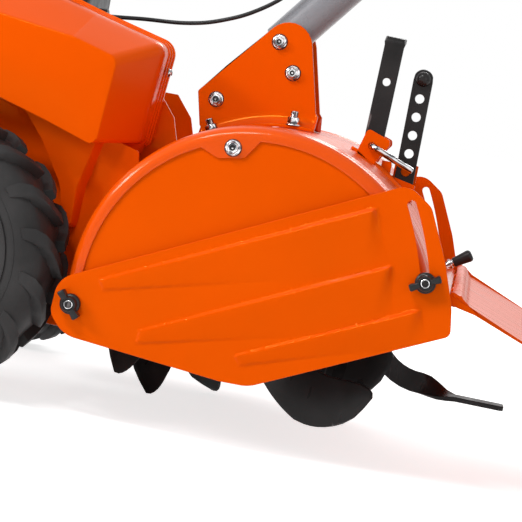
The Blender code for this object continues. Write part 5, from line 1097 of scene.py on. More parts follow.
LEG_FACE = (
    (-0.1790, 0.335, 0), (-0.1960, 0.262, 0.030), (-0.1960, 0.214, 0.004), (-0.2070, 0.214, 0.003),
    (-0.2180, 0.262, 0.040), (-0.2500, 0.312, 0.020), (-0.300, 0.370, 0),
)
# Inset and y of the steps in the cover's lip
COVER_LIP = ((0.0016, -0.0802), (0.0018, -0.0880), (0.0032, -0.0888), (0.0034, -0.0965), (0.0048, -0.0975))
# Share of the way from rim to face, and y
COVER_DRAFT = (
    (0.0, -0.120), (0.03, -0.127), (0.12, -0.1345), (0.42, -0.1530), (0.72, -0.1715), (0.88, -0.1812),
    (0.945, -0.1848), (0.98, -0.1870), (1.01, -0.1885), (1.05, -0.1896),
)
LEG_DRAFT = (
    (0.08, -0.106), (0.5, -0.1265), (0.86, -0.1435), (0.94, -0.1468), (1.0, -0.1487), (1.06, -0.1497),
)
COVER_BACK = -0.0760
COVER_WALL = 0.0025
LIP_END = -0.1


def drafted(rim, face, draft):
    """Outlines on the way from a rim to a face, each with its y."""
    return [([tuple(Vector(a).lerp(Vector(b), share)) for a, b in zip(rim, face)], y) for share, y in draft]


def edge_distance(point, loop):
    """How far a point lies from the nearest side of an outline."""
    here = Vector(point)
    best = 1.0
    for i in range(len(loop)):
        a, b = Vector(loop[i - 1]), Vector(loop[i])
        way = b - a
        share = clamp((here - a).dot(way) / max(1e-12, way.length_squared))
        best = min(best, (here - a - way * share).length)
    return best


def fill_face(build, ring, outline, level, crown, spacing):
    """Fills a ring of vertices with a face that bulges outwards by the crown."""
    points = list(outline)
    count = len(points)
    room = grown(outline, -spacing * 0.6)
    low = [min(p[i] for p in outline) for i in (0, 1)]
    high = [max(p[i] for p in outline) for i in (0, 1)]
    for i in range(int((high[0] - low[0]) / spacing) + 1):
        for k in range(int((high[1] - low[1]) / spacing) + 1):
            spot = (low[0] + (i + 0.5 * (k % 2)) * spacing, low[1] + k * spacing)
            if inside(spot, room):
                points.append(spot)
    edges = [(i, (i + 1) % count) for i in range(count)]
    found = delaunay_2d_cdt([Vector(p) for p in points], edges, [], 1, 1e-7)
    verts = {}
    for i, (spot, given) in enumerate(zip(found[0], found[3])):
        on_rim = [k for k in given if k < count]
        if on_rim:
            verts[i] = ring[on_rim[0]]
        else:
            bulge = crown * smooth_step(edge_distance(spot, outline) / 0.055)
            verts[i] = build.verts.new((spot.x, level - bulge, spot.y))
    for face in found[2]:
        centre = sum((found[0][i] for i in face), Vector((0.0, 0.0))) / len(face)
        if inside(centre, outline):
            build.faces.new([verts[i] for i in face])


def drafted_shell(build, stations, crown, spacing):
    """A moulded shell: outer outlines from the rim to the face, then the inner ones back."""
    outline, depth = stations[-1]
    outer = [[build.verts.new((a, y, b)) for a, b in loop] for loop, y in stations]
    inner = []
    for loop, y in stations:
        if y >= LIP_END:
            shift = 0.0
        elif y > depth + COVER_WALL:
            shift = COVER_WALL
        else:
            shift = COVER_WALL * 0.9
        level = min(stations[0][1], y + shift)
        inner.append([build.verts.new((a, level, b)) for a, b in grown(loop, -COVER_WALL)])
    bridge(build, outer)
    bridge(build, inner)
    bridge(build, [outer[0], inner[0]])
    fill_face(build, outer[-1], outline, depth, crown, spacing)
    fill_face(build, inner[-1], grown(outline, -COVER_WALL), depth + COVER_WALL * 0.9, crown, spacing)


def make_cover():
    build = bmesh.new()
    rim = rounded(COVER_RIM)
    stations = [(rim, COVER_BACK), (rim, -0.0795)]
    stations += [(grown(rim, -inset), y) for inset, y in COVER_LIP]
    stations += drafted(grown(rim, -0.0050), rounded(COVER_FACE), COVER_DRAFT)
    drafted_shell(build, stations, 0.0030, 0.012)
    rim = rounded(LEG_RIM)
    stations = [(rim, COVER_BACK), (rim, LIP_END)]
    stations += drafted(rim, rounded(LEG_FACE), LEG_DRAFT)
    drafted_shell(build, stations, 0.0012, 0.010)
    plate(build, rectangle(-0.150, -0.1285, 0.335, 0.382), [], -0.080, -0.0683)
    put("cover_moulding", build, "orange_moulding", "chassis", ("belt_cover",), sharp=42.0)
    build, dark_and_shade = bmesh.new(), bmesh.new()
    flange_bolt(build, dark_and_shade, (-0.1195, -0.0985, 0.4180), (0.96, 0, 0.1), 0.55, 0.2, 0.004)
    put_bolts("cover_screw", build, dark_and_shade, "chassis")


def make_inner_wall():
    """The pressed wall behind the wheel, between the belt cover and the hood."""
    outline = arc(TINE_CENTRE, HOOD_RADIUS + GAP, 143.0, 201.0, 16)
    outline += [(-0.235, 0.0886), (-0.300, 0.190), (-0.300, 0.262), (-0.520, 0.300), (-0.520, 0.345)]
    outline += [(-0.330, 0.353), (-0.175, 0.330), (-0.130, 0.318)]

    def place(a, b, t):
        return (a, -0.118 - 0.026 * smooth_step((a + 0.300) / 0.150) + SHEET * t, b)

    build = bmesh.new()
    sheet(build, outline, [], 0.0100, place, 0.0004)
    put("cover_inner_wall", build, "orange_enamel", "chassis", sharp=40.0)


def make_frame():
    """The frame, with the rear corner of its two gussets cut on the slope that shows beside the cover."""
    item = refine("main_frame", 0.0008)
    corner = [(-0.1335, 0.3945), (-0.1070, 0.3629), (-0.0900, 0.3629), (-0.0900, 0.3945)]
    carve(item, [slab_tool(corner, -0.080, 0.080)])


# Wheels


WHEEL_CENTRE = (WHEEL_X, WHEEL_RADIUS)
BEAD_RINGS = (0.1060, 0.1165)
# Across, foot radius, depth of the top below the wheel's radius, turn, half breadth in degrees
LUG_PATH = (
    (-0.0015, 0.1500, 0.0006, -1.0, 2.3),
    (0.0000, 0.1500, 0.0001, -0.6, 2.5),
    (0.0150, 0.1495, 0.0002, 2.2, 2.6),
    (0.0300, 0.1480, 0.0012, 6.2, 2.8),
    (0.0420, 0.1440, 0.0042, 10.6, 3.0),
    (0.0490, 0.1390, 0.0095, 14.0, 3.2),
    (0.0530, 0.1330, 0.0180, 16.6, 3.3),
    (0.0545, 0.1260, 0.0290, 18.2, 3.0),
    (0.0540, 0.1230, 0.0370, 18.8, 2.4),
)
# Share of the half breadth, and of the lug's height
LUG_SECTION = (
    (-1.25, 0.0), (-1.02, 0.55), (-0.92, 0.88), (-0.76, 1.0),
    (0.76, 1.0), (0.92, 0.88), (1.02, 0.55), (1.25, 0.0),
)


def carcass_profile():
    """Points (across, radius) of the tyre's outer face from the left bead to the right one, then the seat."""
    wide = -TYRE_HALF
    bead = RIM_HALF - 0.0035
    seat = RIM_RADIUS + GAP
    side = [
        (-bead, seat), (-bead - 0.0010, seat + 0.0060), (-bead - 0.0030, seat + 0.0105),
        (wide + 0.0048, 0.0985), (wide + 0.0014, 0.1110), (wide + 0.0008, 0.1240), (wide + 0.0030, 0.1350),
        (wide + 0.0085, 0.1450), (wide + 0.0180, 0.1508), (wide + 0.0330, CARCASS_RADIUS),
    ]
    return side + [(0.0, CARCASS_RADIUS + 0.0004)] + [(-a, r) for a, r in side[::-1]]


def add_lug(build, middle, hand, base):
    """One lug of the tread, from the tyre's middle out over its shoulder."""
    rings = []
    for out, root, sunk, turn, breadth in LUG_PATH:
        rise = WHEEL_RADIUS - sunk - root
        ring = []
        for share, lift in LUG_SECTION:
            inward = 0.010 if lift == 0.0 and out > 0.048 else 0.0
            spot = on_circle(WHEEL_CENTRE, root + rise * lift, base + turn + breadth * share)
            ring.append(build.verts.new(at(spot, middle + hand * (out - inward))))
        rings.append(ring)
    cap(build, rings)


def make_tyre(word, side):
    middle = side * WHEEL_Y
    build = bmesh.new()
    lathe(build, at(WHEEL_CENTRE, middle), (0, 1, 0), carcass_profile(), 112)
    for ring in BEAD_RINGS:
        raised = [(-0.002, ring - 0.0012), (0.0006, ring - 0.0006)]
        raised += [(0.0006, ring + 0.0006), (-0.002, ring + 0.0012)]
        for hand in (-1, 1):
            out = hand * (TYRE_HALF - 0.0012)
            lathe(build, at(WHEEL_CENTRE, middle + out), (0, hand, 0), raised, 96)
    pitch = 360.0 / LUGS_PER_SIDE
    for hand in (-1, 1):
        for lug in range(LUGS_PER_SIDE):
            add_lug(build, middle, hand, -90.0 + pitch * lug + (pitch / 2.0 if hand > 0 else 0.0))
    name = word + "_tyre"
    put(name + "_tread", build, "tyre_rubber", "wheels", (name,), sharp=38.0)


def make_rim(word, side):
    """A pressed rim with its hub tube, its bolts and the hub's pin."""
    half = RIM_HALF
    edge = RIM_RADIUS
    bore = AXLE_RADIUS + GAP
    middle = side * WHEEL_Y
    flange = [
        (half - 0.0032, edge + 0.0006), (half - 0.0028, edge + 0.0066), (half - 0.0012, edge + 0.0072),
        (half, edge + 0.0060), (half + 0.0002, edge + 0.0020), (half - 0.0012, edge - 0.0030),
    ]
    profile = [
        (-0.0520, bore), (-0.0520, bore + 0.0070), (-0.0510, bore + 0.0080), (-0.0060, bore + 0.0080),
        (-0.0030, bore + 0.0120), (-0.0010, 0.034), (0.0050, 0.046), (0.0060, 0.058), (-0.0020, 0.068),
        (-0.0060, edge - 0.0045), (-0.0200, edge - 0.0040),
    ]
    profile += [(-a, r) for a, r in flange[::-1]] + flange
    profile += [
        (0.0100, edge - 0.0042), (0.0020, 0.0690), (0.0090, 0.0600), (0.0080, 0.0450),
        (0.0025, 0.0330), (0.0010, bore + 0.0040), (0.0020, bore),
    ]
    build = bmesh.new()
    lathe(build, at(WHEEL_CENTRE, middle), (0, side, 0), profile, 96)
    name = word + "_rim"
    put(name + "_pressing", build, "orange_enamel", "wheels", (name,), sharp=38.0)
    build, dark_and_shade = bmesh.new(), bmesh.new()
    for i in range(WHEEL_BOLTS):
        spot = on_circle(WHEEL_CENTRE, WHEEL_BOLT_CIRCLE, 360.0 / WHEEL_BOLTS * i + 18.0)
        flange_bolt(build, dark_and_shade, at(spot, middle + side * 0.0050), (0, side, 0), 0.95, 0.2 * i)
    pin_y = middle - side * 0.040
    low = WHEEL_RADIUS + bore
    rod(build, (WHEEL_X, pin_y, low), (WHEEL_X, pin_y, low + 0.012), 0.004)
    put_bolts(word + "_wheel_bolts", build, dark_and_shade, "wheels")


# Bracket and column of the handlebar


BRACKET_CORNERS = (
    (-0.0812, 0.3605, 0.0), (-0.0910, 0.4030, 0.004), (0.0269, 0.5432, 0.0305), (0.0614, 0.4020, 0.0),
)


def hood_top(x, radius=HOOD_RADIUS):
    """The height of the hood, or of a circle round its centre, at an x."""
    return TINE_CENTRE[1] + math.sqrt(radius**2 - (x - TINE_CENTRE[0]) ** 2)


def make_bracket(word, side):
    """A plate bent out along its foot, so that it lies on the hood and is bolted down."""
    near = BRACKET_INNER + GAP
    bend = 0.020
    foot = 0.026
    corner = 0.004
    seat = HOOD_RADIUS + 2.0 * GAP
    quarter = bend * math.pi / 2.0
    front, back = -0.0795, 0.0650
    low = -(foot - bend) - quarter + bend
    outline = [(x, z - hood_top(x, seat)) for x, z in rounded(BRACKET_CORNERS, 9)]
    outline += [(back, bend), (back, low + corner), (back - corner, low)]
    outline += [(back - corner + (front - back + 2.0 * corner) * i / 12, low) for i in range(1, 12)]
    outline += [(front + corner, low), (front, low + corner), (front, bend)]

    def place(a, s, t):
        base = hood_top(a, seat)
        if s >= bend:
            return (a, side * (near + BRACKET_SHEET * t), base + s)
        turn = min(math.pi / 2.0, (bend - s) / bend)
        extra = max(0.0, (bend - s) - quarter)
        radius = bend - BRACKET_SHEET * t
        y = near + bend - radius * math.cos(turn) + extra
        return (a, side * y, base + bend - radius * math.sin(turn))

    bolts = (BRACKET_PIVOT, BRACKET_LOCK)
    holes = [circle((x, z - hood_top(x, seat)), BOLT_RADIUS + GAP, 24) for x, z in bolts]
    build = bmesh.new()
    sheet(build, outline, holes, 0.0040, place, 0.0006, 0.18)
    name = word + "_bracket_plate"
    put(word + "_bracket_sheet", build, "orange_enamel", "chassis", (name,), sharp=40.0)
    build, dark_and_shade = bmesh.new(), bmesh.new()
    face = side * (near + BRACKET_SHEET - 0.0002)
    flange_bolt(build, dark_and_shade, at(BRACKET_FRONT, face), (0, side, 0), 1.08, 0.1)
    for x in BRACKET_STUDS:
        z = hood_top(x, seat) + BRACKET_SHEET - 0.0003
        slope = Vector((x - TINE_CENTRE[0], 0.0, hood_top(x) - TINE_CENTRE[1])).normalized()
        stud_nut(build, dark_and_shade, (x, side * (near + 0.0195), z), slope, 0.25)
    put_bolts(word + "_bracket_bolts", build, dark_and_shade, "chassis")


def make_cross_bolt(node, place):
    half = BRACKET_INNER + GAP + BRACKET_SHEET + GAP
    build, dark_and_shade = bmesh.new(), bmesh.new()
    rod(build, at(place, -half - 0.0005), at(place, half + 0.0005), BOLT_RADIUS, 32)
    flange_bolt(build, dark_and_shade, at(place, -half), (0, -1, 0), 1.08, 0.35, 0.0075)
    flange_bolt(build, dark_and_shade, at(place, half), (0, 1, 0), 1.08, 0.1, 0.0065)
    put_bolts(node + "_turned", build, dark_and_shade, "chassis", (node,))


def make_column():
    ahead = heading(COLUMN_TURN)
    pivot = at(BRACKET_PIVOT)
    build = bmesh.new()
    rod(build, pivot - ahead * 0.004, pivot + ahead * COLUMN_LENGTH, COLUMN_RADIUS, 72, 0.0015)
    tongue = hull_of_circles(BRACKET_PIVOT, 0.0160, BRACKET_LOCK, 0.0145)
    plate(build, tongue, [], -BRACKET_INNER + 0.0006, BRACKET_INNER - 0.0006, 0.0015)
    put("column_tube", build, "grey_enamel", "chassis", ("handlebar_column",), sharp=40.0)


# Depth stake, lever and pin


# Lengths of the stake's straight part and of the bend below it
STAKE_STRAIGHT = STAKE_TOP - STAKE_ARC - (STAKE_FOOT_Z + STAKE_FOOT_DIP + STAKE_BEND)
STAKE_CURVE = STAKE_BEND * math.pi / 2.0
STAKE_BUTTON = (
    (0.0, 0.0), (0.0, 0.0094), (0.0012, 0.0096), (0.0030, 0.0092),
    (0.0060, 0.0076), (0.0080, 0.0050), (0.0089, 0.0),
)


def stake_line(s):
    """Centre, the bar's broad way and its thin way at a distance below the stake's top arc."""
    if s <= STAKE_STRAIGHT:
        centre = at((STAKE_X, STAKE_TOP - STAKE_ARC - s))
        along = Vector((0.0, 0.0, -1.0))
        twist = 0.0
    elif s <= STAKE_STRAIGHT + STAKE_CURVE:
        turn = (s - STAKE_STRAIGHT) / STAKE_BEND
        z = STAKE_FOOT_Z + STAKE_FOOT_DIP + STAKE_BEND - STAKE_BEND * math.sin(turn)
        centre = at((STAKE_X + STAKE_BEND - STAKE_BEND * math.cos(turn), z))
        along = Vector((math.sin(turn), 0.0, -math.cos(turn)))
        twist = math.radians(12.0) * smooth_step(turn / (math.pi / 2.0))
    else:
        run = s - STAKE_STRAIGHT - STAKE_CURVE
        z = STAKE_FOOT_Z + STAKE_FOOT_DIP * (1.0 - smooth_step(run / 0.045))
        centre = at((STAKE_X + STAKE_BEND + run, z))
        along = Vector((1.0, 0.0, 0.0))
        twist = math.radians(12.0 + 78.0 * smooth_step(run / 0.048))
    flat = Vector((0.0, 1.0, 0.0))
    across = Vector((-along.z, 0.0, along.x))
    wide = across * math.cos(twist) + flat * math.sin(twist)
    thin = flat * math.cos(twist) - across * math.sin(twist)
    return centre, wide, thin


def make_stake():
    """The drilled stake, which turns into a flat skid at its foot."""
    half = STAKE_HALF
    total = STAKE_STRAIGHT + STAKE_CURVE + STAKE_FOOT_END - STAKE_X - STAKE_BEND
    steps = 46
    edge = []
    for i in range(steps + 1):
        s = 0.004 + (total - 0.010) * i / steps
        run = s - STAKE_STRAIGHT - STAKE_CURVE
        swell = smooth_step((s - STAKE_STRAIGHT) / STAKE_CURVE) * (1.0 - 0.8 * smooth_step(run / 0.05))
        edge.append((s, half * (1.0 + 0.10 * swell)))
    edge += [(total - 0.002, half * 0.92), (total, half * 0.7)]
    outline = edge + [(s, -w) for s, w in edge[::-1]]
    outline += arc((half - STAKE_ARC, 0.0), half, 248.0, 112.0, 14)
    first = STAKE_TOP - STAKE_ARC - STAKE_TOP_HOLE
    holes = [circle((first + i * STAKE_PITCH, 0.0), STAKE_HOLE, 28) for i in range(STAKE_HOLES)]

    def place(s, w, t):
        centre, wide, thin = stake_line(s)
        return centre + wide * w + thin * (STAKE_THIN * (2.0 * t - 1.0))

    build = bmesh.new()
    sheet(build, outline, holes, 0.0050, place, 0.0007, 0.14)
    lathe(build, (STAKE_X, -STAKE_THIN + 0.0002, STAKE_TOP - half), (0, -1, 0), STAKE_BUTTON, 40)
    put("stake_bar", build, "dark_steel", "stake", ("depth_stake",), sharp=40.0)


def make_lever():
    """A drilled flat bar, turned over at the top for the hand."""
    pivot = Vector(LEVER_PIVOT)
    half = STAKE_HALF
    broad = half + 0.0010
    thick = 0.006
    ahead = Vector(on_circle((0.0, 0.0), 1.0, 88.6))
    across = Vector((ahead.y, -ahead.x))
    bend = 0.0045
    quarter = bend * math.pi / 2.0
    turn_at = LEVER_TOP - pivot.y - bend
    reach = turn_at + quarter + 0.0125
    edge = [(0.0, half), (turn_at - 0.004, half), (turn_at, broad)]
    edge += [(reach - 0.003, broad), (reach, half - 0.002)]
    outline = edge + [(s, -w) for s, w in edge[::-1]]
    outline += arc((0.0, 0.0), half, 258.0, 102.0, 14)

    def place(s, w, t):
        depth = thick * (t - 0.5)
        if s <= turn_at:
            spot = pivot + ahead * s + across * w
            return (spot.x, LEVER_Y + depth, spot.y)
        turn = min(math.pi / 2.0, (s - turn_at) / bend)
        extra = max(0.0, s - turn_at - quarter)
        radius = bend - depth
        spot = pivot + ahead * (turn_at + radius * math.sin(turn)) + across * w
        return (spot.x, LEVER_Y + bend - radius * math.cos(turn) + extra, spot.y)

    build = bmesh.new()
    holes = [circle((0.0815, 0.0), 0.0050, 28), circle((0.0, 0.0), PIN_HOLE, 24)]
    sheet(build, outline, holes, 0.0028, place, 0.0006, 0.12)
    put("lever_bar", build, "dark_steel", "lock_lever", ("stake_lock_lever",), sharp=40.0)


def make_pin():
    corner = at(LEVER_PIVOT, -0.0440)
    route = bent_route([at(LEVER_PIVOT, 0.0350), corner, corner + heading(-21.0) * 0.0600], 0.010, 12)
    build = bmesh.new()
    tube(build, route, 0.0042, 32, 0.25)
    put("pin_rod", build, "plated_steel", "pin", ("lock_pin",))


STAKE_EAR = (
    (0.1211, 0.3656, 0.0), (0.1296, 0.3964, 0.005), (0.1593, 0.3861, 0.004), (0.1605, 0.3795, 0.003),
    (0.1556, 0.3730, 0.004), (0.1506, 0.3636, 0.004), (0.1466, 0.3552, 0.0), (0.1440, 0.3510, 0.0),
    (0.1230, 0.3610, 0.0),
)


def make_stake_bracket():
    """A rolled base on the hood with two ears for the lever's pin and two guides for the stake."""
    seat = HOOD_RADIUS + GAP
    thick = 0.004
    left, right = -0.0318, 0.0308
    lean = math.atan2(LEVER_PIVOT[1] - TINE_CENTRE[1], LEVER_PIVOT[0] - TINE_CENTRE[0])
    front = math.degrees(lean) + 5.5
    reach = math.radians(27.5) * seat
    middle = (math.radians(front) - math.acos((STAKE_X - TINE_CENTRE[0]) / seat)) * seat

    def rolled(a, b, t):
        return at(on_circle(TINE_CENTRE, seat + thick * t, front - math.degrees(a / seat)), b)

    build = bmesh.new()
    base = rounded([(0.0, left, 0.004), (reach, left, 0.006), (reach, right, 0.006), (0.0, right, 0.004)], 5)
    room = rectangle(middle - 0.0190, middle + 0.0190, -0.0038, 0.0038)
    sheet(build, base, [room], 0.0050, rolled, 0.0005, 0.14)
    for low, high in ((left, -0.0276), (0.0266, right)):
        plate(build, rounded(STAKE_EAR, 5), [circle(LEVER_PIVOT, PIN_HOLE, 24)], low, high)
    for low, high, tall in ((-0.0074, -0.0036, 0.012), (0.0036, 0.0074, 0.036)):
        guide = [(STAKE_X + step, hood_top(STAKE_X + step) + 0.002) for step in (0.0150, 0.0, -0.0150)]
        top = hood_top(STAKE_X) + tall
        guide += [(STAKE_X - 0.0150, top + 0.004), (STAKE_X + 0.0150, top - 0.002)]
        plate(build, guide, [], low, high)
    stop = [(0.1540, 0.3450), (0.1670, 0.3370), (0.1670, 0.3560), (0.1655, 0.3600), (0.1540, 0.3600)]
    plate(build, stop, [], -0.0240, -0.0036)
    put("stake_bracket_welded", build, "orange_enamel", "chassis", ("stake_bracket",), sharp=40.0)


# Flap and latch


FLAP_LENGTH = 0.240
FLAP_HALF = 0.232
FLAP_RIM = 0.004
FLAP_QUARTER = FLAP_RIM * math.pi / 2.0
FLAP_SKIRT = 0.0020
FLAP_HUMP = 0.0086
FLAP_AHEAD = Vector((math.cos(math.radians(FLAP_DROP)), -math.sin(math.radians(FLAP_DROP))))
FLAP_UP = Vector((-FLAP_AHEAD.y, FLAP_AHEAD.x))
FLAP_CHEEK = (
    (-0.0090, -0.0046), (0.0060, -0.0044), (0.0300, -0.0006), (0.0300, 0.0004),
    (0.0130, 0.0060), (0.0040, 0.0086), (-0.0060, 0.0092), (-0.0090, 0.0080),
)


def from_hinge(reach, level):
    """A point (x, z) of the side view, along the flap and square to it from its hinge."""
    return tuple(Vector(FLAP_HINGE) + FLAP_AHEAD * reach + FLAP_UP * level)


def bent_edge(distance, limit):
    """How far out a point of the sheet comes, and how far it lies beyond the start of the edge's bend."""
    over = max(0.0, distance - (limit - FLAP_RIM))
    return distance - over + FLAP_RIM * math.sin(min(1.0, over / FLAP_QUARTER) * math.pi / 2.0), over


def flap_point(a, b, t):
    """a runs from the hinge and b across; the sheet humps over the hinge and turns down at its edges."""
    along, over_a = bent_edge(a, FLAP_LENGTH)
    cross, over_b = bent_edge(abs(b), FLAP_HALF)
    over = over_a + over_b
    bent = min(1.0, over / FLAP_QUARTER)
    face = SHEET * (0.5 - t)
    flat = face * (1.0 - smooth_step(bent))
    sink = FLAP_RIM * (1.0 - math.cos(bent * math.pi / 2.0)) + max(0.0, over - FLAP_QUARTER)
    hump = FLAP_HUMP * (1.0 - smooth_step((a - 0.004) / 0.012))
    if over_a > 0.0:
        along += face - flat
    if over_b > 0.0:
        cross += face - flat
    x, z = from_hinge(along, hump - sink + flat)
    return (x, math.copysign(cross, b), z)


def make_flap():
    """A flat sheet that reaches over its hinge, with its edges turned down, its eyes and its cheeks."""
    length, half, rim = FLAP_LENGTH, FLAP_HALF, FLAP_RIM
    left = [(-0.0060, -half - FLAP_SKIRT), (length - rim, -half - FLAP_SKIRT)]
    left += [(length - rim, -half + rim), (length + FLAP_SKIRT, -half + rim)]
    strap = [from_hinge(*p) for p in rectangle(0.0045, 0.0135, -0.00115, 0.00115)]
    cheek = [from_hinge(*p) for p in FLAP_CHEEK]
    build = bmesh.new()
    sheet(build, left + [(a, -b) for a, b in left[::-1]], [], 0.0060, flap_point, 0.0004)
    for y in (-0.120, 0.090):
        plate(build, circle(FLAP_HINGE, EYE_RADIUS, 28), [circle(FLAP_HINGE, 0.0044, 20)], y, y + 0.030)
        plate(build, strap, [], y + 0.0004, y + 0.0296, 0.0003)
    for low, high in ((-half, -half + SHEET), (half - SHEET, half)):
        plate(build, cheek, [], low, high, 0.0004)
    rolled = "orange_enamel_rolled"
    put("flap_sheet", build, "orange_enamel", "flap", ("rear_flap",), sharp=40.0, finish=rolled)


def make_hinge_rod():
    node = "flap_hinge_rod"
    end = FLAP_HALF - SHEET - 0.0004
    build = bmesh.new()
    rod(build, at(FLAP_HINGE, -end), at(FLAP_HINGE, end), 0.0040, 24)
    put("hinge_rod_drawn", build, SLOT_OF[node], BODY_OF[node], (node,))


# Points (along, radius) of the latch's turned parts
LATCH_PIVOT = (
    (0.0, 0.0), (0.0, 0.0085), (0.0012, 0.0088), (0.0035, 0.0085),
    (0.0050, 0.0062), (0.0115, 0.0058), (0.0126, 0.0050), (0.0130, 0.0),
)
LATCH_COLLAR = (
    (0.0, 0.0), (0.0, 0.0044), (0.0100, 0.0046), (0.0104, 0.0062),
    (0.0134, 0.0062), (0.0138, 0.0046), (0.0180, 0.0046), (0.0190, 0.0),
)
LATCH_GRIP = (
    (0.0165, 0.0), (0.0165, 0.0054), (0.0175, 0.0060), (0.0290, 0.0070),
    (0.0375, 0.0078), (0.0400, 0.0073), (0.0416, 0.0056), (0.0420, 0.0),
)


def make_latch():
    """A plated pivot, a small cranked plate and a tapered black grip."""
    on_hood = math.atan2(0.2500 - TINE_CENTRE[1], 0.2560 - TINE_CENTRE[0])
    out = heading(math.degrees(on_hood))
    down = Vector((out.z, 0.0, -out.x))
    foot = at(TINE_CENTRE) + out * (HOOD_RADIUS + GAP)
    crank = 0.0080

    def place(a, b, t):
        spot = foot + out * (0.0060 + 0.0026 * t) + down * a
        return (spot.x, b, spot.z)

    build = bmesh.new()
    lathe(build, foot, out, LATCH_PIVOT, 40)
    sheet(build, hull_of_circles((0.0, 0.0), 0.0086, (crank, 0.0), 0.0066), [], None, place, 0.0004, 0.15)
    start = foot + out * 0.0072 + down * crank
    lathe(build, start, heading(34.5), LATCH_COLLAR, 36)
    put("latch_foot", build, "plated_steel", "flap_latch", ("flap_latch_handle",))
    build = bmesh.new()
    lathe(build, start, heading(34.5), LATCH_GRIP, 40)
    put("latch_grip", build, "black_plastic", "flap_latch")


# Tines


BLADE_STEPS = 32
BLADE_ROOT = 0.016
# Across the blade and through it, each -1 to 1: a bevelled cutting edge and a rounded back
BLADE_SECTION = (
    (-1.0, -0.25), (-0.86, -1.0), (0.0, -1.0), (0.94, -1.0), (1.0, -0.6),
    (1.0, 0.6), (0.94, 1.0), (0.0, 1.0), (-0.86, 1.0), (-1.0, 0.25),
)


def blade(build, towards, centre_y, start_turn, reach):
    """One swept blade that broadens, then bends sideways to its rounded tip."""
    plane = centre_y + towards * 0.012
    rings = []
    for i in range(BLADE_STEPS + 1):
        s = i / BLADE_STEPS
        radius = BLADE_ROOT + (TINE_RADIUS - BLADE_ROOT) * s
        sweep = math.radians(start_turn + TINE_SWEEP * s**1.6)
        width = 0.018 + 0.023 * min(1.0, s / 0.75) ** 1.6
        if s > 0.8:
            width *= math.sqrt(1.0 - 0.8 * ((s - 0.8) / 0.2) ** 2)
        bent = max(0.0, (s - 0.45) / 0.55)
        centre = Vector((math.cos(sweep), math.sin(sweep))) * radius
        across = Vector((-math.sin(sweep), math.cos(sweep)))
        ring = []
        for edge, face in BLADE_SECTION:
            point = centre + across * width * edge
            if point.length > TINE_RADIUS:
                point = point.normalized() * TINE_RADIUS
            y = plane + towards * (bent**1.6 * reach + bent * edge * 0.010) + face * 0.0025
            ring.append(build.verts.new((TINE_CENTRE[0] + point.x, y, TINE_CENTRE[1] + point.y)))
        rings.append(ring)
    cap(build, rings)


def make_tines():
    half = TINE_HUB_HALF
    bore = AXLE_RADIUS + GAP
    hub = [(-half, bore), (-half, TINE_HUB_RADIUS - 0.001), (-half + 0.001, TINE_HUB_RADIUS)]
    hub += [(-a, r) for a, r in hub[::-1]]
    for name, turn in TINE_TURNS.items():
        side = -1 if name.startswith("left") else 1
        y, inward = (0.158, 0.040) if "outer" in name else (0.078, 0.004)
        build = bmesh.new()
        lathe(build, at(TINE_CENTRE, side * y), (0, 1, 0), hub, 56)
        for i, (hand, reach) in enumerate(((1, 0.040), (-1, inward), (1, 0.040))):
            blade(build, side * hand, side * y, turn + 120.0 * i, reach)
        put(name + "_forged", build, "dark_steel", "tines", (name,), sharp=38.0)


# Handlebar


def make_arms():
    """The two bent tubes with their cross bar, and the bolts that hold them to the console."""
    top = at(BRACKET_PIVOT) + heading(COLUMN_TURN) * COLUMN_LENGTH
    ahead = heading(30.0)
    up = Vector((-ahead.z, 0.0, ahead.x))
    base = top + heading(COLUMN_TURN) * GAP + up * 0.012 - ahead * 0.030
    middle = base + ahead * 0.060 + up * 0.018
    build = bmesh.new()
    ends = []
    for side in (-1, 1):
        beside = Vector((0.0, side * (CONSOLE_HALF + HANDLE_RADIUS + GAP), 0.0))
        corners = [middle - ahead * 0.045 + beside, middle + ahead * 0.045 + beside]
        for x in (REACH - GRIP_LENGTH - 0.130, REACH - 0.004):
            corners.append(Vector((x, side * GRIP_Y, GRIP_Z)))
        tube(build, bent_route(corners, 0.090, 16), HANDLE_RADIUS, 36)
        ends.append(corners[1].lerp(corners[2], 0.62))
    rod(build, ends[0], ends[1], 0.009, 32)
    put("arm_tubes", build, "grey_enamel", "chassis", ("handlebar_arms",), sharp=40.0)
    build, dark_and_shade = bmesh.new(), bmesh.new()
    for side in (-1, 1):
        for along in (-0.030, 0.030):
            spot = middle + ahead * along + Vector((0.0, side * (CONSOLE_HALF + 2 * HANDLE_RADIUS), 0.0))
            flange_bolt(build, dark_and_shade, spot, (0, side, 0), 1.0, 0.2)
    put_bolts("console_bolts", build, dark_and_shade, "chassis")


def make_grips():
    full = GRIP_RADIUS
    bore = HANDLE_RADIUS + GAP
    profile = [(0.0, bore), (0.0, full + 0.0022), (0.0010, full + 0.0030)]
    profile += [(0.0050, full + 0.0030), (0.0060, full + 0.0022), (0.0070, full)]
    for i in range(15):
        start = 0.012 + i * 0.0070
        profile += [(start, full - 0.0002), (start + 0.0010, full + 0.0010)]
        profile += [(start + 0.0040, full + 0.0010), (start + 0.0050, full - 0.0002)]
    profile += [(GRIP_LENGTH - 0.010, full), (GRIP_LENGTH - 0.006, full + 0.0015)]
    profile += [(GRIP_LENGTH - 0.002, full + 0.0008), (GRIP_LENGTH, full - 0.002), (GRIP_LENGTH, bore)]
    for word, side in SIDES:
        build = bmesh.new()
        lathe(build, (REACH - GRIP_LENGTH, side * GRIP_Y, GRIP_Z), (1, 0, 0), profile, 48)
        name = word + "_grip"
        put(name + "_sleeve", build, "black_plastic", "chassis", (name,), sharp=40.0)


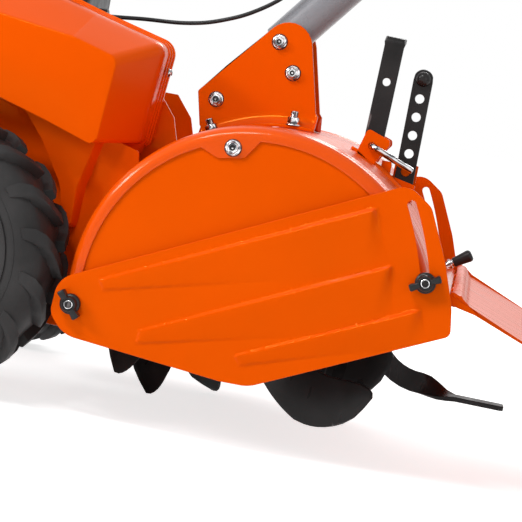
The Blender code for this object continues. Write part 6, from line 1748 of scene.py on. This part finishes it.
def make_clutch_lever():
    """The bail between the grips, on its two short pivots."""
    pivot_x = REACH - GRIP_LENGTH - 0.030
    inner_y = GRIP_Y - HANDLE_RADIUS - 0.006
    low_z = GRIP_Z - 0.038
    left = [(pivot_x, -inner_y, GRIP_Z)]
    left += [(pivot_x + along, -inner_y, low_z) for along in (0.030, 0.125)]
    corners = left + [(x, -y, z) for x, y, z in left[::-1]]
    build = bmesh.new()
    tube(build, bent_route(corners, 0.030, 10), 0.0045, 24)
    for side in (-1, 1):
        inner = (pivot_x, side * (inner_y - 0.004), GRIP_Z)
        rod(build, inner, (pivot_x, side * (GRIP_Y - HANDLE_RADIUS - GAP), GRIP_Z), 0.0075, 32)
    put("clutch_rod", build, "dark_steel", "clutch_bail", ("clutch_lever",))


CABLE_ROUTE = (
    (-0.3150, -0.0944, 0.4565), (-0.3080, -0.0840, 0.4600), (-0.2880, -0.0710, 0.4655),
    (-0.2400, -0.0670, 0.4705), (-0.2050, -0.0580, 0.4740), (-0.1801, -0.0430, 0.4775),
    (-0.1097, -0.0360, 0.4850), (-0.0728, -0.0340, 0.4961), (-0.0370, -0.0330, 0.5135),
    (0.0000, -0.0300, 0.5420), (0.0540, -0.0160, 0.6030),
)


def make_cable():
    """The sheathed clutch cable, on the source's own route."""
    ahead = heading(COLUMN_TURN)
    above = Vector((-ahead.z, 0.0, ahead.x)) * (COLUMN_RADIUS + CABLE_RADIUS + GAP)
    points = list(CABLE_ROUTE)
    points += [tuple(at(BRACKET_PIVOT) + ahead * along + above) for along in (0.220, 0.300, 0.370)]
    points.append((0.2292, 0.0, 0.8205))
    line = bpy.data.curves.new("clutch_cable", "CURVE")
    line.dimensions = "3D"
    line.bevel_depth = CABLE_RADIUS
    line.bevel_resolution = 5
    line.resolution_u = 12
    line.use_fill_caps = True
    spline = line.splines.new("BEZIER")
    spline.bezier_points.add(len(points) - 1)
    for knot, place in zip(spline.bezier_points, points):
        knot.co = place
        knot.handle_left_type = "AUTO"
        knot.handle_right_type = "AUTO"
    line.materials.append(FINISH["black_plastic"])
    cable = bpy.data.objects.new("clutch_cable", line)
    bpy.context.scene.collection.objects.link(cable)
    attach(cable, "chassis")
    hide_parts("control_cable")


# The rest of the machine keeps the source's forms, with softened edges


SOFT_NODES = {
    "gear_case": 0.0012, "front_bumper": 0.0010, "engine_block": 0.0006, "valve_cover": 0.0008,
    "fan_shroud": 0.0005, "recoil_cover": 0.0005, "fuel_tank": 0.0015, "fuel_cap": 0.0005,
    "carburetor": 0.0010, "air_cleaner": 0.0010, "throttle_lever": 0.0004, "muffler": 0.0010,
    "muffler_guard": 0.0003, "oil_dipstick": 0.0005, "starter_handle": 0.0004, "engine_pulley": 0.0004,
    "input_pulley": 0.0004, "idler_pulley": 0.0003, "idler_arm": 0.0005, "console": 0.0010,
    "shift_lever": 0.0003,
}


def dress_rest():
    """Softens the nodes that keep their form, and gives each solid that still shows its material."""
    for node, soft in SOFT_NODES.items():
        refine(node, soft)
    for node, item in frame["nodes"].items():
        if not item.hide_render:
            item.data.materials.clear()
            item.data.materials.append(FINISH[SLOT_OF[node]])


def main():
    make_camera()
    make_cable()
    make_light()
    make_floor()
    make_hood_shell()
    make_hinge_lip()
    make_shield_studs()
    for word, side in SIDES:
        make_shield(word, side)
        make_knob(word + "_front_knob", side, SHIELD_PIVOT, -50.0)
        make_knob(word + "_rear_knob", side, SHIELD_SLOT, 27.0)
        make_bracket(word, side)
        make_tyre(word, side)
        make_rim(word, side)
    make_cover()
    make_inner_wall()
    make_frame()
    make_cross_bolt("handlebar_pivot_bolt", BRACKET_PIVOT)
    make_cross_bolt("handlebar_lock_bolt", BRACKET_LOCK)
    make_column()
    make_stake()
    make_lever()
    make_pin()
    make_stake_bracket()
    make_flap()
    make_hinge_rod()
    make_latch()
    make_tines()
    make_arms()
    make_grips()
    make_clutch_lever()
    dress_rest()
    bpy.context.scene.view_settings.view_transform = "Standard"


main()
